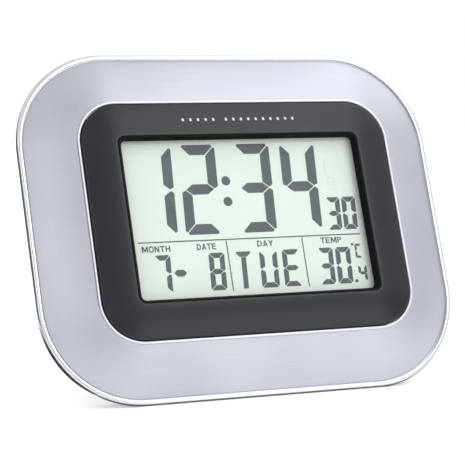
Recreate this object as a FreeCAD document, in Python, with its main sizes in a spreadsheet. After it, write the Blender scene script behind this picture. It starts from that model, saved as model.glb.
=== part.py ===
import FreeCAD, Part
import Sketcher
import math
import os
import re

# Radio-controlled digital clock, standing on a table on its fold-out leg, in millimetres.
# Clock frame: x to the viewer's right, y up the face, z out of the face towards the viewer.
# z = 0 is the level of the dark bezel's outer edge. The whole clock is then leaned back and
# stood on the table, so that +Z is up and the origin is the middle of the base.

doc = FreeCAD.newDocument("RadioClock")

sizes = {
    # Case
    "caseWidth": 230.0,
    "caseHeight": 182.0,
    "caseRadius": 51.0,
    "seamDepth": 13.0,
    "seamGap": 0.1,
    # Silver front frame
    "rimWidth": 2.75,
    "rimCrest": 9.2,
    "rimThickness": 3.2,
    "rimRounding": 1.5,
    "skirtInset": 1.3,
    "skirtWall": 2.7,
    "skirtOverlap": 0.4,
    "frameWall": 2.3,
    "collarDrop": 0.8,
    "collarWall": 2.25,
    "collarDepth": 8.0,
    "ledgeDepth": 4.0,
    "frameBossReach": 4.6,
    "frameBoss": 3.5,
    "pilotFloor": 1.0,
    "bossCover": 0.2,
    # Brushed fascia ring
    "fasciaGap": 0.5,
    "fasciaSeatGap": 0.2,
    "fasciaThickness": 1.3,
    "fasciaDepth": 10.0,
    "fasciaRise": 0.2,
    "fasciaCrown": 1.1,
    "fasciaRounding": 0.5,
    # Dark bezel
    "bezelWidth": 170.0,
    "bezelHeight": 121.4,
    "bezelRadius": 20.7,
    "bezelGap": 0.3,
    "bezelWall": 2.2,
    "bezelEdge": 0.6,
    "bezelRise": 4.0,
    "bezelRounding": 1.1,
    "postOverlap": 0.3,
    "windowWidth": 134.0,
    "windowHeight": 86.0,
    "windowRadius": 4.0,
    # Black window mask
    "maskSlopeX": 2.85,
    "maskSlopeY": 2.2,
    "viewRadius": 2.6,
    "maskGap": 0.1,
    "maskRim": 0.5,
    "maskLip": 0.6,
    "maskFlange": 5.0,
    "maskFlangeRise": 0.5,
    # Lens and display cell
    "stackGap": 0.1,
    "lensThickness": 0.8,
    "lensMargin": 3.2,
    "polariserThickness": 0.2,
    "polariserMargin": 2.0,
    "glassThickness": 0.7,
    "glassMargin": 4.85,
    "glassLedge": 2.8,
    "segmentThickness": 0.1,
    "reflectorThickness": 0.2,
    # Display holder and the rubber connectors
    "holderWall": 2.6,
    "holderFit": 0.2,
    "holderBase": 2.0,
    "holderMargin": 12.0,
    "connectorWidth": 1.8,
    "connectorInset": 0.6,
    # Main circuit board
    "boardMarginX": 2.8,
    "boardMarginY": 8.5,
    "boardThickness": 1.6,
    "boardHole": 1.3,
    "postRadius": 3.0,
    "postInsetX": 4.0,
    "postInsetY": 8.0,
    "screwShank": 0.95,
    "screwHole": 1.0,
    "screwHead": 2.0,
    "screwHeadHeight": 1.3,
    "screwLength": 5.0,
    "crossLong": 1.24,
    "crossShort": 0.28,
    # Parts on the main board
    "chipX": -30.0,
    "chipY": -20.0,
    "chipRadius": 8.0,
    "chipHeight": 1.2,
    "crystalX": -5.0,
    "crystalY": -24.0,
    "crystalRadius": 1.0,
    "crystalLength": 6.0,
    "capacitorX": 40.0,
    "capacitorY": -25.0,
    "capacitorRadius": 2.5,
    "capacitorHeight": 7.0,
    "smallPartLength": 2.0,
    "smallPartWidth": 1.25,
    "smallPartHeight": 0.6,
    "sensorX": 60.0,
    "sensorY": -34.0,
    "sensorWidth": 4.0,
    "sensorHeight": 3.0,
    "sensorReach": 5.5,
    "sensorWire": 0.25,
    "headerY": 7.0,
    "headerPitch": 2.54,
    "headerHeight": 2.5,
    "headerPin": 0.6,
    # Back cover
    "coverInset": 1.5,
    "coverTaper": 13.5,
    "coverRounding": 4.0,
    "coverWall": 2.2,
    "coverEmbed": 0.6,
    "footLand": 0.4,
    "caseScrewInset": 24.8,
    "sideScrewInset": 15.0,
    "caseBoss": 4.0,
    "caseScrewShank": 1.3,
    "caseScrewHole": 1.4,
    "caseScrewClearance": 1.6,
    "caseScrewHead": 2.8,
    "caseScrewHeadHeight": 2.0,
    "counterbore": 3.2,
    "counterboreDepth": 6.0,
    # Keyhole for the wall screw
    "keyholeDrop": 26.0,
    "keyholeHead": 4.5,
    "keyholeNeck": 2.3,
    "keyholeTravel": 9.0,
    "keyholeCavityWidth": 12.0,
    "keyholeCavityHeight": 18.5,
    "keyholeCavityDepth": 8.0,
    "keyholeWall": 2.0,
    "keyholeRoof": 1.0,
    # Fold-out leg
    "legWidth": 54.0,
    "legThickness": 3.2,
    "legAngle": 28.1,
    "legPivotY": 6.0,
    "legPinInset": 2.1,
    "legEdge": 1.0,
    "legHeel": 3.0,
    "legStopGap": 0.1,
    "legSideGap": 1.0,
    "legEndGap": 0.8,
    "legFloorGap": 0.6,
    "legPin": 1.5,
    "legPinFit": 0.1,
    "legPinLength": 3.2,
    "legPanelDepth": 1.0,
    "legPanelMargin": 7.0,
    "legPanelHeight": 22.0,
    "legPanelSpacing": 3.0,
    "recessWall": 2.6,
    "fingerNotch": 18.0,
    "fingerNotchDepth": 3.0,
    # Batteries, two AA cells
    "cellRadius": 7.25,
    "cellLength": 50.5,
    "cellNubRadius": 2.75,
    "cellNubLength": 1.2,
    "cellRounding": 0.8,
    "cellSpacing": 1.1,
    "cellGap": 0.1,
    "cellSideGap": 0.45,
    "cellDoorGap": 0.4,
    "wellSpacing": 2.0,
    "wellBoardGap": 0.3,
    "wellWall": 1.6,
    "wellFloor": 1.2,
    "springLength": 7.4,
    "contactThickness": 0.4,
    "contactWidth": 11.0,
    "contactHeight": 12.0,
    "contactGap": 0.1,
    "tabWidth": 3.0,
    "tabLength": 4.2,
    "springWire": 0.35,
    "springWide": 4.4,
    "springNarrow": 2.4,
    "springTurns": 4,
    # Battery door
    "doorThickness": 1.8,
    "doorLap": 2.2,
    "doorGap": 0.3,
    "doorLedgeGap": 0.1,
    "doorPin": 0.6,
    "doorPinFit": 0.1,
    "doorPinLength": 1.3,
    "doorAxisDepth": 1.1,
    "doorHeel": 0.7,
    "doorHingeDrop": 2.6,
    "doorNotch": 6.0,
    "doorChamfer": 0.3,
    "doorRidgeDepth": 0.5,
    "doorRidgeLength": 15.6,
    "doorRidgeTaper": 1.2,
    "doorRidgeWidth": 0.9,
    "doorRidgePitch": 1.9,
    "doorRidgeInset": 4.0,
    # Buttons and their board
    "buttonX": 62.0,
    "buttonRounding": 0.5,
    "buttonPitch": 14.0,
    "buttonWidth": 12.0,
    "buttonHeight": 7.0,
    "buttonRadius": 2.5,
    "buttonGap": 0.2,
    "buttonProud": 0.8,
    "buttonTravel": 0.7,
    "buttonFlange": 1.0,
    "buttonFlangeHeight": 0.8,
    "keyBoardWidth": 14.0,
    "keyBoardHeight": 92.0,
    "keyBoardRadius": 1.5,
    "keyPostInset": 5.0,
    "keyPostRadius": 2.8,
    "switchSize": 6.0,
    "switchHeight": 3.0,
    "switchPlunger": 1.75,
    "switchPlungerHeight": 0.5,
    "switchGap": 0.1,
    # Vents beside the temperature sensor
    "ventX": 62.0,
    "ventY": -30.0,
    "ventWidth": 18.0,
    "ventHeight": 1.6,
    "ventPitch": 4.4,
    # Radio receiver
    "rodRadius": 4.0,
    "rodLength": 60.0,
    "rodX": 45.0,
    "rodY": 66.0,
    "rodDepth": 14.0,
    "coilRadius": 5.5,
    "coilLength": 20.0,
    "coilFit": 0.1,
    "saddleReach": 23.0,
    "saddleThickness": 4.0,
    "saddleWidth": 12.0,
    "saddleBase": 1.6,
    "saddleMargin": 2.0,
    "saddleMouth": 7.2,
    "receiverX": 33.0,
    "receiverY": 66.0,
    "receiverWidth": 26.0,
    "receiverHeight": 14.0,
    "receiverThickness": 1.2,
    "receiverDepth": 16.0,
    "receiverPost": 2.0,
    "receiverPin": 0.9,
    "receiverPinX": 9.5,
    "receiverPinReach": 0.6,
    "receiverChipWidth": 9.0,
    "receiverChipHeight": 4.0,
    "receiverChipThickness": 1.6,
    "tuningRadius": 1.5,
    "tuningLength": 8.0,
    # Leads
    "leadRadius": 0.5,
    "thinLeadRadius": 0.3,
    "leadDropX": 46.0,
    "linkClearance": 4.0,
    "linkInset": 5.0,
    "linkPitch": 2.0,
    # Liquid crystal pattern
    "patternX": 1.0,
    "patternY": 0.6,
    "digitSlant": 3.0,
    "timeDigitWidth": 19.9,
    "timeDigitHeight": 47.3,
    "timeStroke": 5.4,
    "smallDigitHeight": 17.6,
    "smallDigitWidth": 8.0,
    "rowDigitHeight": 19.4,
    "rowDigitWidth": 8.6,
    "letterWidth": 9.8,
    "tenthWidth": 4.9,
    "tenthHeight": 8.7,
    "unitWidth": 3.8,
    "unitHeight": 7.5,
    "smallStroke": 2.7,
    "tenthStroke": 1.5,
    "unitStroke": 1.15,
    "dashWidth": 6.9,
    "dashHeight": 3.4,
    "ruleThickness": 0.6,
}

# Places worked out from the sizes above
places = {
    "viewWidth": "windowWidth - 2 * maskSlopeX",
    "viewHeight": "windowHeight - 2 * maskSlopeY",
    "frameSeat": "fasciaDepth + fasciaThickness + fasciaSeatGap",
    "frameTop": "fasciaThickness - fasciaRise + collarDrop",
    "frameSlope": "(frameSeat - frameTop) / ((fasciaWidth - openingWidth) / 2 - collarWall)",
    "sideBossTop": "(sideScrewInset - frameBoss - rimWidth - fasciaGap) * frameSlope - frameSeat - bossCover",
    "fasciaWidth": "caseWidth - 2 * (rimWidth + fasciaGap)",
    "fasciaHeight": "caseHeight - 2 * (rimWidth + fasciaGap)",
    "fasciaRadius": "caseRadius - rimWidth - fasciaGap",
    "openingWidth": "bezelWidth + 2 * bezelGap",
    "openingHeight": "bezelHeight + 2 * bezelGap",
    "openingRadius": "bezelRadius + bezelGap",
    "lensFront": "-(maskLip + stackGap)",
    "polariserFront": "lensFront - lensThickness - stackGap",
    "glassFront": "polariserFront - polariserThickness",
    "segmentFront": "glassFront - glassThickness",
    "rearGlassFront": "segmentFront - segmentThickness",
    "reflectorFront": "rearGlassFront - glassThickness",
    "holderFloor": "reflectorFront - reflectorThickness - stackGap",
    "boardFront": "holderFloor - holderBase",
    "boardBack": "boardFront - boardThickness",
    "glassWidth": "viewWidth + 2 * glassMargin",
    "glassHeight": "viewHeight + 2 * glassMargin",
    "rearGlassHeight": "glassHeight - 2 * glassLedge",
    "holderWidth": "glassWidth + 2 * (holderFit + holderWall)",
    "holderHeight": "glassHeight + 2 * (holderFit + holderWall)",
    "boardWidth": "bezelWidth - 2 * (bezelWall + boardMarginX)",
    "boardHeight": "bezelHeight - 2 * (bezelWall + boardMarginY)",
    "postX": "boardWidth / 2 - postInsetX",
    "postY": "boardHeight / 2 - postInsetY",
    "connectorY": "glassHeight / 2 - connectorInset - connectorWidth / 2",
    "wellTop": "boardBack - wellBoardGap",
    "wellInner": "wellTop - wellFloor",
    "backDepth": "-wellInner + cellGap + 2 * cellRadius + cellDoorGap + doorThickness",
    "caseScrewX": "caseWidth / 2 - caseScrewInset",
    "caseScrewY": "caseHeight / 2 - caseScrewInset",
    "sideScrewX": "caseWidth / 2 - sideScrewInset",
    "keyholeY": "caseHeight / 2 - keyholeDrop",
    "coverFront": "-(seamDepth + seamGap)",
    "coverInner": "-(backDepth - coverWall)",
    "coverWidth": "caseWidth - 2 * coverInset",
    "coverHeight": "caseHeight - 2 * coverInset",
    "coverRadius": "caseRadius - coverInset",
    "baseRoundY": "coverHeight / 2 - (backDepth - coverRounding - seamDepth - seamGap)"
                  " * tan(coverTaper * 1 deg) - coverRounding / cos(coverTaper * 1 deg)",
    "legPivotDepth": "backDepth - legPinInset",
    "legLength": "baseRoundY - legEdge + legPivotY - legThickness / 2 - legEndGap",
    "recessFloor": "-(legPivotDepth - legThickness / 2 - legFloorGap)",
    "recessTop": "legPivotY + legHeel + legEndGap",
    "recessBottom": "legPivotY - legLength - legThickness / 2 - legEndGap",
    "recessWidth": "legWidth + 2 * legSideGap",
    "legStop": "legPivotDepth + recessFloor - legStopGap",
    "legStopY": "(legStop - legThickness / 2 * cos(legAngle * 1 deg)) / sin(legAngle * 1 deg)",
    "legStopZ": "(legStop - legHeel * sin(legAngle * 1 deg)) / cos(legAngle * 1 deg)",
    "leanRise": "legPivotY + baseRoundY - legLength * cos(legAngle * 1 deg)",
    "leanRun": "backDepth - coverRounding - legPivotDepth - legLength * sin(legAngle * 1 deg)",
    "leanDrop": "legThickness / 2 - coverRounding",
    "caseLean": "(atan(leanRun / leanRise) + acos(leanDrop / sqrt(leanRise^2 + leanRun^2))) / 1 deg",
    "baseLevel": "-(baseRoundY * cos(caseLean * 1 deg)"
                 " + (backDepth - coverRounding) * sin(caseLean * 1 deg) + coverRounding - footLand)",
    "cellPitch": "2 * cellRadius + cellSpacing",
    "wellWidth": "cellLength + springLength + 2 * contactThickness + 3 * contactGap",
    "wellHeight": "2 * cellRadius + cellPitch + 2 * cellSideGap",
    "wellY": "recessTop + recessWall + wellSpacing + doorLap + wellHeight / 2",
    "cellAxis": "wellInner - cellGap - cellRadius",
    "doorFront": "-(backDepth - doorThickness)",
    "doorFloor": "doorFront + doorLedgeGap",
    "doorWidth": "wellWidth + 2 * doorLap",
    "doorBottom": "wellY - wellHeight / 2 - doorLap",
    "doorAxisY": "wellY + wellHeight / 2 + doorHingeDrop",
    "doorAxisZ": "-(backDepth - doorAxisDepth)",
    "keyPostY": "keyBoardHeight / 2 - keyPostInset",
    "keySeat": "keyBoardBack + boardThickness",
    "keyBoardBack": "coverInner + buttonFlangeHeight + buttonGap + buttonTravel + switchGap"
                    " + switchPlungerHeight + switchHeight",
    "buttonInner": "coverInner + buttonGap + buttonFlangeHeight",
}


def bound(text):
    """Give each size or place in an expression the name of the sheet that holds it."""
    def cell(match):
        word = match.group()
        if word in sizes:
            return "Sizes." + word
        if word in places:
            return "Places." + word
        return word
    return re.sub(r"[A-Za-z_]\w*", cell, text)


def fillSheet(name, rows, formulas):
    sheet = doc.addObject("Spreadsheet::Sheet", name)
    for row, (alias, content) in enumerate(rows.items(), 1):
        sheet.set(f"A{row}", alias)
        sheet.set(f"B{row}", "=" + bound(content) if formulas else str(content))
        sheet.setAlias(f"B{row}", alias)
    return sheet


sizeSheet = fillSheet("Sizes", sizes, False)
placeSheet = fillSheet("Places", places, True)
doc.recompute()


def value(text):
    """The number that an expression of sizes and places gives."""
    result = sizeSheet.evalExpression(bound(str(text)))
    return float(getattr(result, "Value", result))


parts = {}
ownPlace = {}


def newBody(label):
    body = doc.addObject("PartDesign::Body", label)
    body.Label = label
    parts[label] = body
    return body


def sketchOn(body, plane, offset):
    sketch = body.newObject("Sketcher::SketchObject", body.Label + "_sketch")
    for feature in body.Origin.OriginFeatures:
        if feature.Role == plane:
            sketch.AttachmentSupport = [(feature, "")]
    sketch.MapMode = "FlatFace"
    sketch.setExpression("AttachmentOffset.Base.z", bound(offset))
    return sketch


def hold(sketch, kind, arguments, text):
    """Add a dimension to a sketch and bind it to an expression."""
    index = sketch.addConstraint(Sketcher.Constraint(kind, *arguments, value(text)))
    name = f"size{index}"
    sketch.renameConstraint(index, name)
    sketch.setExpression("Constraints." + name, bound(text))


def rounded(width, height, radius, x="0", y="0"):
    """Rectangle with round corners about a centre."""
    def draw(sketch):
        w, h, r = value(width) / 2, value(height) / 2, value(radius)
        cx, cy = value(x), value(y)
        normal = FreeCAD.Vector(0, 0, 1)
        right, left, top, low = cx + w, cx - w, cy + h, cy - h
        ends = [((left + r, low), (right - r, low)), ((right, low + r), (right, top - r)),
                ((right - r, top), (left + r, top)), ((left, top - r), (left, low + r))]
        centres = [(right - r, low + r, -90), (right - r, top - r, 0),
                   (left + r, top - r, 90), (left + r, low + r, 180)]
        lines = [sketch.addGeometry(Part.LineSegment(FreeCAD.Vector(*a), FreeCAD.Vector(*b)))
                 for a, b in ends]
        arcs = []
        for ax, ay, start in centres:
            circle = Part.Circle(FreeCAD.Vector(ax, ay), normal, r)
            arc = Part.ArcOfCircle(circle, math.radians(start), math.radians(start + 90))
            arcs.append(sketch.addGeometry(arc))
        joints = []
        for i in range(4):
            joints.append(Sketcher.Constraint("Tangent", lines[i], 2, arcs[i], 1))
            joints.append(Sketcher.Constraint("Tangent", arcs[i], 2, lines[(i + 1) % 4], 1))
            joints.append(Sketcher.Constraint("Horizontal" if i % 2 == 0 else "Vertical", lines[i]))
        for i in range(1, 4):
            joints.append(Sketcher.Constraint("Equal", arcs[0], arcs[i]))
        sketch.addConstraint(joints)
        hold(sketch, "Radius", (arcs[0],), radius)
        hold(sketch, "DistanceX", (-1, 1, arcs[1], 3), f"({x}) + ({width}) / 2 - ({radius})")
        hold(sketch, "DistanceY", (-1, 1, arcs[1], 3), f"({y}) + ({height}) / 2 - ({radius})")
        hold(sketch, "DistanceX", (-1, 1, arcs[3], 3), f"({x}) - ({width}) / 2 + ({radius})")
        hold(sketch, "DistanceY", (-1, 1, arcs[3], 3), f"({y}) - ({height}) / 2 + ({radius})")
    return draw


def polygon(*points):
    """Closed outline through points whose coordinates are expressions."""
    def draw(sketch):
        corners = [FreeCAD.Vector(value(px), value(py)) for px, py in points]
        count = len(corners)
        lines = [sketch.addGeometry(Part.LineSegment(corners[i], corners[(i + 1) % count]))
                 for i in range(count)]
        for i in range(count):
            sketch.addConstraint(Sketcher.Constraint("Coincident", lines[i], 2, lines[(i + 1) % count], 1))
        for i, (px, py) in enumerate(points):
            hold(sketch, "DistanceX", (-1, 1, lines[i], 1), px)
            hold(sketch, "DistanceY", (-1, 1, lines[i], 1), py)
    return draw


def box(left, right, low, high):
    return polygon((left, low), (right, low), (right, high), (left, high))


def rectangle(width, height, x="0", y="0"):
    return box(f"({x}) - ({width}) / 2", f"({x}) + ({width}) / 2",
               f"({y}) - ({height}) / 2", f"({y}) + ({height}) / 2")


def circle(radius, x="0", y="0"):
    def draw(sketch):
        centre = FreeCAD.Vector(value(x), value(y))
        index = sketch.addGeometry(Part.Circle(centre, FreeCAD.Vector(0, 0, 1), value(radius)))
        hold(sketch, "Radius", (index,), radius)
        hold(sketch, "DistanceX", (-1, 1, index, 3), x)
        hold(sketch, "DistanceY", (-1, 1, index, 3), y)
    return draw


def circles(radius, spots):
    return [circle(radius, x, y) for x, y in spots]


def rectangles(width, height, spots):
    return [rectangle(width, height, x, y) for x, y in spots]


def changed(body, feature, before, cut):
    """Stop if a feature failed or left the solid as it was."""
    doc.recompute()
    if "Invalid" in feature.State or "Error" in feature.State:
        raise RuntimeError(f"{feature.Name} of {body.Label} failed")
    after = feature.Shape.Volume
    if (after >= before - 1e-6) if cut else (after <= before + 1e-6):
        raise RuntimeError(f"{feature.Name} of {body.Label} changed nothing")
    return feature


def volume(body):
    return body.Tip.Shape.Volume if body.Tip else 0.0


def pad(body, start, end, *outlines, cut=False, taper=None, plane="XY_Plane"):
    """Pad or pocket of outlines from one level to another, along the plane's normal."""
    before = volume(body)
    sketch = sketchOn(body, plane, start)
    for draw in outlines:
        draw(sketch)
    feature = body.newObject("PartDesign::Pocket" if cut else "PartDesign::Pad", body.Label + "_pad")
    feature.Profile = sketch
    feature.setExpression("Length", bound(f"abs(({end}) - ({start}))"))
    forward = value(end) > value(start)
    feature.Reversed = forward if cut else not forward
    if taper:
        feature.setExpression("TaperAngle", bound(taper))
    return changed(body, feature, before, cut)


def cutOut(body, start, end, *outlines, **options):
    return pad(body, start, end, *outlines, cut=True, **options)


def loft(body, sections, cut=False, ruled=True):
    """Loft through rounded rectangles, each given as (level, width, height, radius)."""
    before = volume(body)
    sketches = []
    for level, width, height, radius in sections:
        sketch = sketchOn(body, "XY_Plane", level)
        rounded(width, height, radius)(sketch)
        sketches.append(sketch)
    kind = "PartDesign::SubtractiveLoft" if cut else "PartDesign::AdditiveLoft"
    feature = body.newObject(kind, body.Label + "_loft")
    feature.Profile = sketches[0]
    feature.Sections = sketches[1:]
    feature.Ruled = ruled
    return changed(body, feature, before, cut)


def roundEdges(body, radius, *levels):
    """Fillet the edges of the body's latest shape that lie flat at the given levels."""
    tip = body.Tip
    heights = [value(level) for level in levels]
    names = []
    for i, edge in enumerate(tip.Shape.Edges, 1):
        extent = edge.BoundBox
        if any(abs(extent.ZMin - z) < 0.01 and abs(extent.ZMax - z) < 0.01 for z in heights):
            names.append(f"Edge{i}")
    fillet = body.newObject("PartDesign::Fillet", body.Label + "_fillet")
    fillet.Base = (tip, names)
    fillet.setExpression("Radius", bound(radius))
    doc.recompute()
    if not names or "Invalid" in fillet.State or "Error" in fillet.State:
        raise RuntimeError(f"fillet of {body.Label} failed")


def revolve(body, *points):
    """Solid of revolution about the body's own x axis."""
    sketch = sketchOn(body, "XY_Plane", "0")
    polygon(*points)(sketch)
    feature = body.newObject("PartDesign::Revolution", body.Label + "_revolution")
    feature.Profile = sketch
    feature.ReferenceAxis = (sketch, ["H_Axis"])
    feature.Angle = 360
    return changed(body, feature, 0.0, False)


def plate(label, front, back, *outlines):
    body = newBody(label)
    pad(body, front, back, *outlines)
    return body


def shaped(label, shape):
    """A piece whose form is set directly, from the same sizes."""
    feature = doc.addObject("Part::Feature", label)
    feature.Label = label
    feature.Shape = shape
    parts[label] = feature
    return feature


def spot(x, y, z):
    return FreeCAD.Vector(value(x), value(y), value(z))


corners = [(1, 1), (-1, 1), (-1, -1), (1, -1)]
cornerScrews = [(f"{sx} * caseScrewX", f"{sy} * caseScrewY") for sx, sy in corners]
sideScrews = [("sideScrewX", "0"), ("-sideScrewX", "0")]
caseScrews = cornerScrews + sideScrews
boardScrews = [(f"{sx} * postX", f"{sy} * postY") for sx, sy in corners]
boardScrews += [("postX", "0"), ("-postX", "0")]
keyScrews = [("-buttonX", "keyPostY"), ("-buttonX", "-keyPostY")]

# Silver front frame: rounded rim, sloping carrier under the fascia, collar for the bezel
frame = newBody("front_frame")
pad(frame, "-(rimCrest + rimThickness)", "-rimCrest", rounded("caseWidth", "caseHeight", "caseRadius"))
roundEdges(frame, "rimRounding", "-rimCrest", "-(rimCrest + rimThickness)")
pad(frame, "-(rimCrest + rimThickness) + skirtOverlap", "-seamDepth",
    rounded("caseWidth - 2 * skirtInset", "caseHeight - 2 * skirtInset", "caseRadius - skirtInset"))
cutOut(frame, "-rimCrest", "-frameSeat",
       rounded("caseWidth - 2 * rimWidth", "caseHeight - 2 * rimWidth", "caseRadius - rimWidth"))
collar = ("openingWidth + 2 * collarWall", "openingHeight + 2 * collarWall", "openingRadius + collarWall")
loft(frame, [("-frameSeat", "fasciaWidth", "fasciaHeight", "fasciaRadius"), ("-frameTop",) + collar])
loft(frame, [("-seamDepth - 0.01", "caseWidth - 2 * skirtWall", "caseHeight - 2 * skirtWall",
              "caseRadius - skirtWall"),
             ("-(frameTop + frameWall)", "openingWidth + 2 * collarWall - 0.2",
              "openingHeight + 2 * collarWall - 0.2", "openingRadius + collarWall - 0.1")], cut=True)
pad(frame, "-collarDepth", "-frameTop", rounded(*collar))
pad(frame, "-seamDepth", "-seamDepth + frameBossReach", *circles("frameBoss", cornerScrews))
pad(frame, "-seamDepth", "sideBossTop", *circles("frameBoss", sideScrews))
cutOut(frame, "-frameTop", "-seamDepth",
       rounded("openingWidth - 2 * collarWall", "openingHeight - 2 * collarWall",
               "openingRadius - collarWall"))
cutOut(frame, "-frameTop", "-ledgeDepth", rounded("openingWidth", "openingHeight", "openingRadius"))
cutOut(frame, "-seamDepth", "-seamDepth + frameBossReach - pilotFloor",
       *circles("caseScrewHole", cornerScrews))
cutOut(frame, "-seamDepth", "sideBossTop - pilotFloor", *circles("caseScrewHole", sideScrews))

# Fascia: brushed silver ring, slightly crowned from the groove up to the bezel
fascia = newBody("fascia_ring")
fasciaTop = [("-fasciaDepth", "fasciaWidth", "fasciaHeight", "fasciaRadius"),
             ("(fasciaRise - fasciaDepth) / 2 + fasciaCrown", "(fasciaWidth + openingWidth) / 2",
              "(fasciaHeight + openingHeight) / 2", "(fasciaRadius + openingRadius) / 2"),
             ("fasciaRise", "openingWidth", "openingHeight", "openingRadius")]
fasciaUnder = [(f"{z} - fasciaThickness - 0.01", w, h, r) for z, w, h, r in fasciaTop]
pad(fascia, "-(fasciaDepth + fasciaThickness)", "-fasciaDepth",
    rounded("fasciaWidth", "fasciaHeight", "fasciaRadius"))
loft(fascia, fasciaTop, ruled=False)
loft(fascia, fasciaUnder, cut=True, ruled=False)
cutOut(fascia, "fasciaRise + 1", "-(fasciaDepth + fasciaThickness)",
       rounded("openingWidth", "openingHeight", "openingRadius"))
roundEdges(fascia, "fasciaRounding", "fasciaRise")

# Dark bezel: hollow, rising from its round outer edge to the window
bezel = newBody("inner_bezel")
hollow = ("bezelWidth - 2 * bezelWall", "bezelHeight - 2 * bezelWall", "bezelRadius - bezelWall")
pad(bezel, "-ledgeDepth", "bezelEdge", rounded("bezelWidth", "bezelHeight", "bezelRadius"))
loft(bezel, [("bezelEdge", "bezelWidth", "bezelHeight", "bezelRadius"),
             ("bezelRise", "windowWidth", "windowHeight", "windowRadius")])
roundEdges(bezel, "bezelRounding", "bezelEdge")
cutOut(bezel, "-ledgeDepth", "bezelEdge - bezelWall", rounded(*hollow))
loft(bezel, [("bezelEdge - bezelWall",) + hollow,
             ("bezelRise - bezelWall", "windowWidth", "windowHeight", "windowRadius")], cut=True)
pad(bezel, "boardFront", "bezelEdge + postOverlap", *circles("postRadius", boardScrews))
cutOut(bezel, "bezelRise", "-ledgeDepth", rounded("windowWidth", "windowHeight", "windowRadius"))
cutOut(bezel, "boardFront", "boardFront + screwLength", *circles("screwHole", boardScrews))

# Black mask: collar in the window with sloping walls, lip over the edge of the display
mask = newBody("window_mask")
pad(mask, "-maskLip", "maskFlangeRise",
    rounded("windowWidth + 2 * maskFlange", "windowHeight + 2 * maskFlange",
            "windowRadius + maskFlange"))
pad(mask, "-maskLip", "bezelRise - maskGap",
    rounded("windowWidth - 2 * maskGap", "windowHeight - 2 * maskGap", "windowRadius - maskGap"))
loft(mask, [("0", "viewWidth", "viewHeight", "viewRadius"),
            ("bezelRise - maskGap + 0.01", "windowWidth - 2 * (maskGap + maskRim)",
             "windowHeight - 2 * (maskGap + maskRim)", "windowRadius - maskGap - maskRim")], cut=True)
cutOut(mask, "0", "-maskLip", rounded("viewWidth", "viewHeight", "viewRadius"))

# Clear lens and the display cell behind it
film = ("viewWidth + 2 * polariserMargin", "viewHeight + 2 * polariserMargin")
plate("display_lens", "lensFront", "lensFront - lensThickness",
      rounded("viewWidth + 2 * lensMargin", "viewHeight + 2 * lensMargin", "viewRadius"))
plate("front_polariser", "polariserFront", "glassFront", rectangle(*film))
plate("front_glass", "glassFront", "segmentFront", rectangle("glassWidth", "glassHeight"))
plate("rear_glass", "rearGlassFront", "reflectorFront", rectangle("glassWidth", "rearGlassHeight"))
plate("display_reflector", "reflectorFront", "reflectorFront - reflectorThickness", rectangle(*film))

# Display holder: white frame that carries the cell on the circuit board
holder = newBody("display_holder")
pad(holder, "boardFront", "lensFront", rounded("holderWidth", "holderHeight", "holderWall"))
cutOut(holder, "lensFront", "holderFloor",
       rectangle("glassWidth + 2 * holderFit", "glassHeight + 2 * holderFit"))
connectorLength = "glassWidth - 2 * connectorInset"
connectorSpots = [("0", "connectorY"), ("0", "-connectorY")]
cutOut(holder, "holderFloor", "boardFront",
       rectangle("glassWidth - 2 * holderMargin", "glassHeight - 2 * holderMargin"),
       *rectangles(f"{connectorLength} + 2 * stackGap", "connectorWidth + 2 * stackGap", connectorSpots))
plate("rubber_connectors", "segmentFront", "boardFront",
      *rectangles(connectorLength, "connectorWidth", connectorSpots))

# Main circuit board with its parts on the back
board = plate("main_board", "boardFront", "boardBack",
              rounded("boardWidth", "boardHeight", "boardThickness"))
cutOut(board, "boardFront", "boardBack", *circles("boardHole", boardScrews))


def crossHeadScrews(label, seat, length, shank, head, headHeight, spots, forward=1):
    """Group of screws whose shanks reach forward from the seat, or back where forward is -1."""
    body = newBody(label)
    back = f"({seat}) - {forward} * {headHeight}"
    middle = f"({seat}) - {forward} * {headHeight} / 2"
    pad(body, seat, back, *circles(head, spots))
    pad(body, middle, f"({seat}) + {forward} * ({length})", *circles(shank, spots))
    for wide, high in (("crossLong", "crossShort"), ("crossShort", "crossLong")):
        cutOut(body, back, middle, *rectangles(f"{head} * {wide}", f"{head} * {high}", spots))
    return body


crossHeadScrews("board_screws", "boardBack", "screwLength + boardThickness - 0.5", "screwShank",
                "screwHead", "screwHeadHeight", boardScrews)

chip = plate("controller_chip", "boardBack", "boardBack - chipHeight",
             circle("chipRadius", "chipX", "chipY"))
roundEdges(chip, "chipHeight * 0.8", "boardBack - chipHeight")

crystal = newBody("clock_crystal")
pad(crystal, "crystalX - crystalLength / 2", "crystalX + crystalLength / 2",
    circle("crystalRadius", "crystalY", "boardBack - crystalRadius - stackGap"), plane="YZ_Plane")

capacitor = plate("filter_capacitor", "boardBack", "boardBack - capacitorHeight",
                  circle("capacitorRadius", "capacitorX", "capacitorY"))
roundEdges(capacitor, "capacitorRadius / 6", "boardBack - capacitorHeight")

smallParts = [(-52, -8), (-52, -12), (-48, -34), (-14, -34), (2, -34), (12, -18), (22, -30),
              (52, -16), (58, 20)]
plate("surface_parts", "boardBack", "boardBack - smallPartHeight",
      *rectangles("smallPartLength", "smallPartWidth", smallParts))

sensor = newBody("temperature_sensor")
sensorTop = "boardBack - sensorReach"
pad(sensor, "boardBack", sensorTop,
    *[circle("sensorWire", f"sensorX + {side} * sensorWidth * 0.3", "sensorY") for side in (1, -1)])
pad(sensor, f"{sensorTop} + 0.2", f"{sensorTop} - sensorHeight",
    rounded("sensorWidth", "sensorWidth * 0.6", "sensorWidth * 0.25", "sensorX", "sensorY"))

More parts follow.
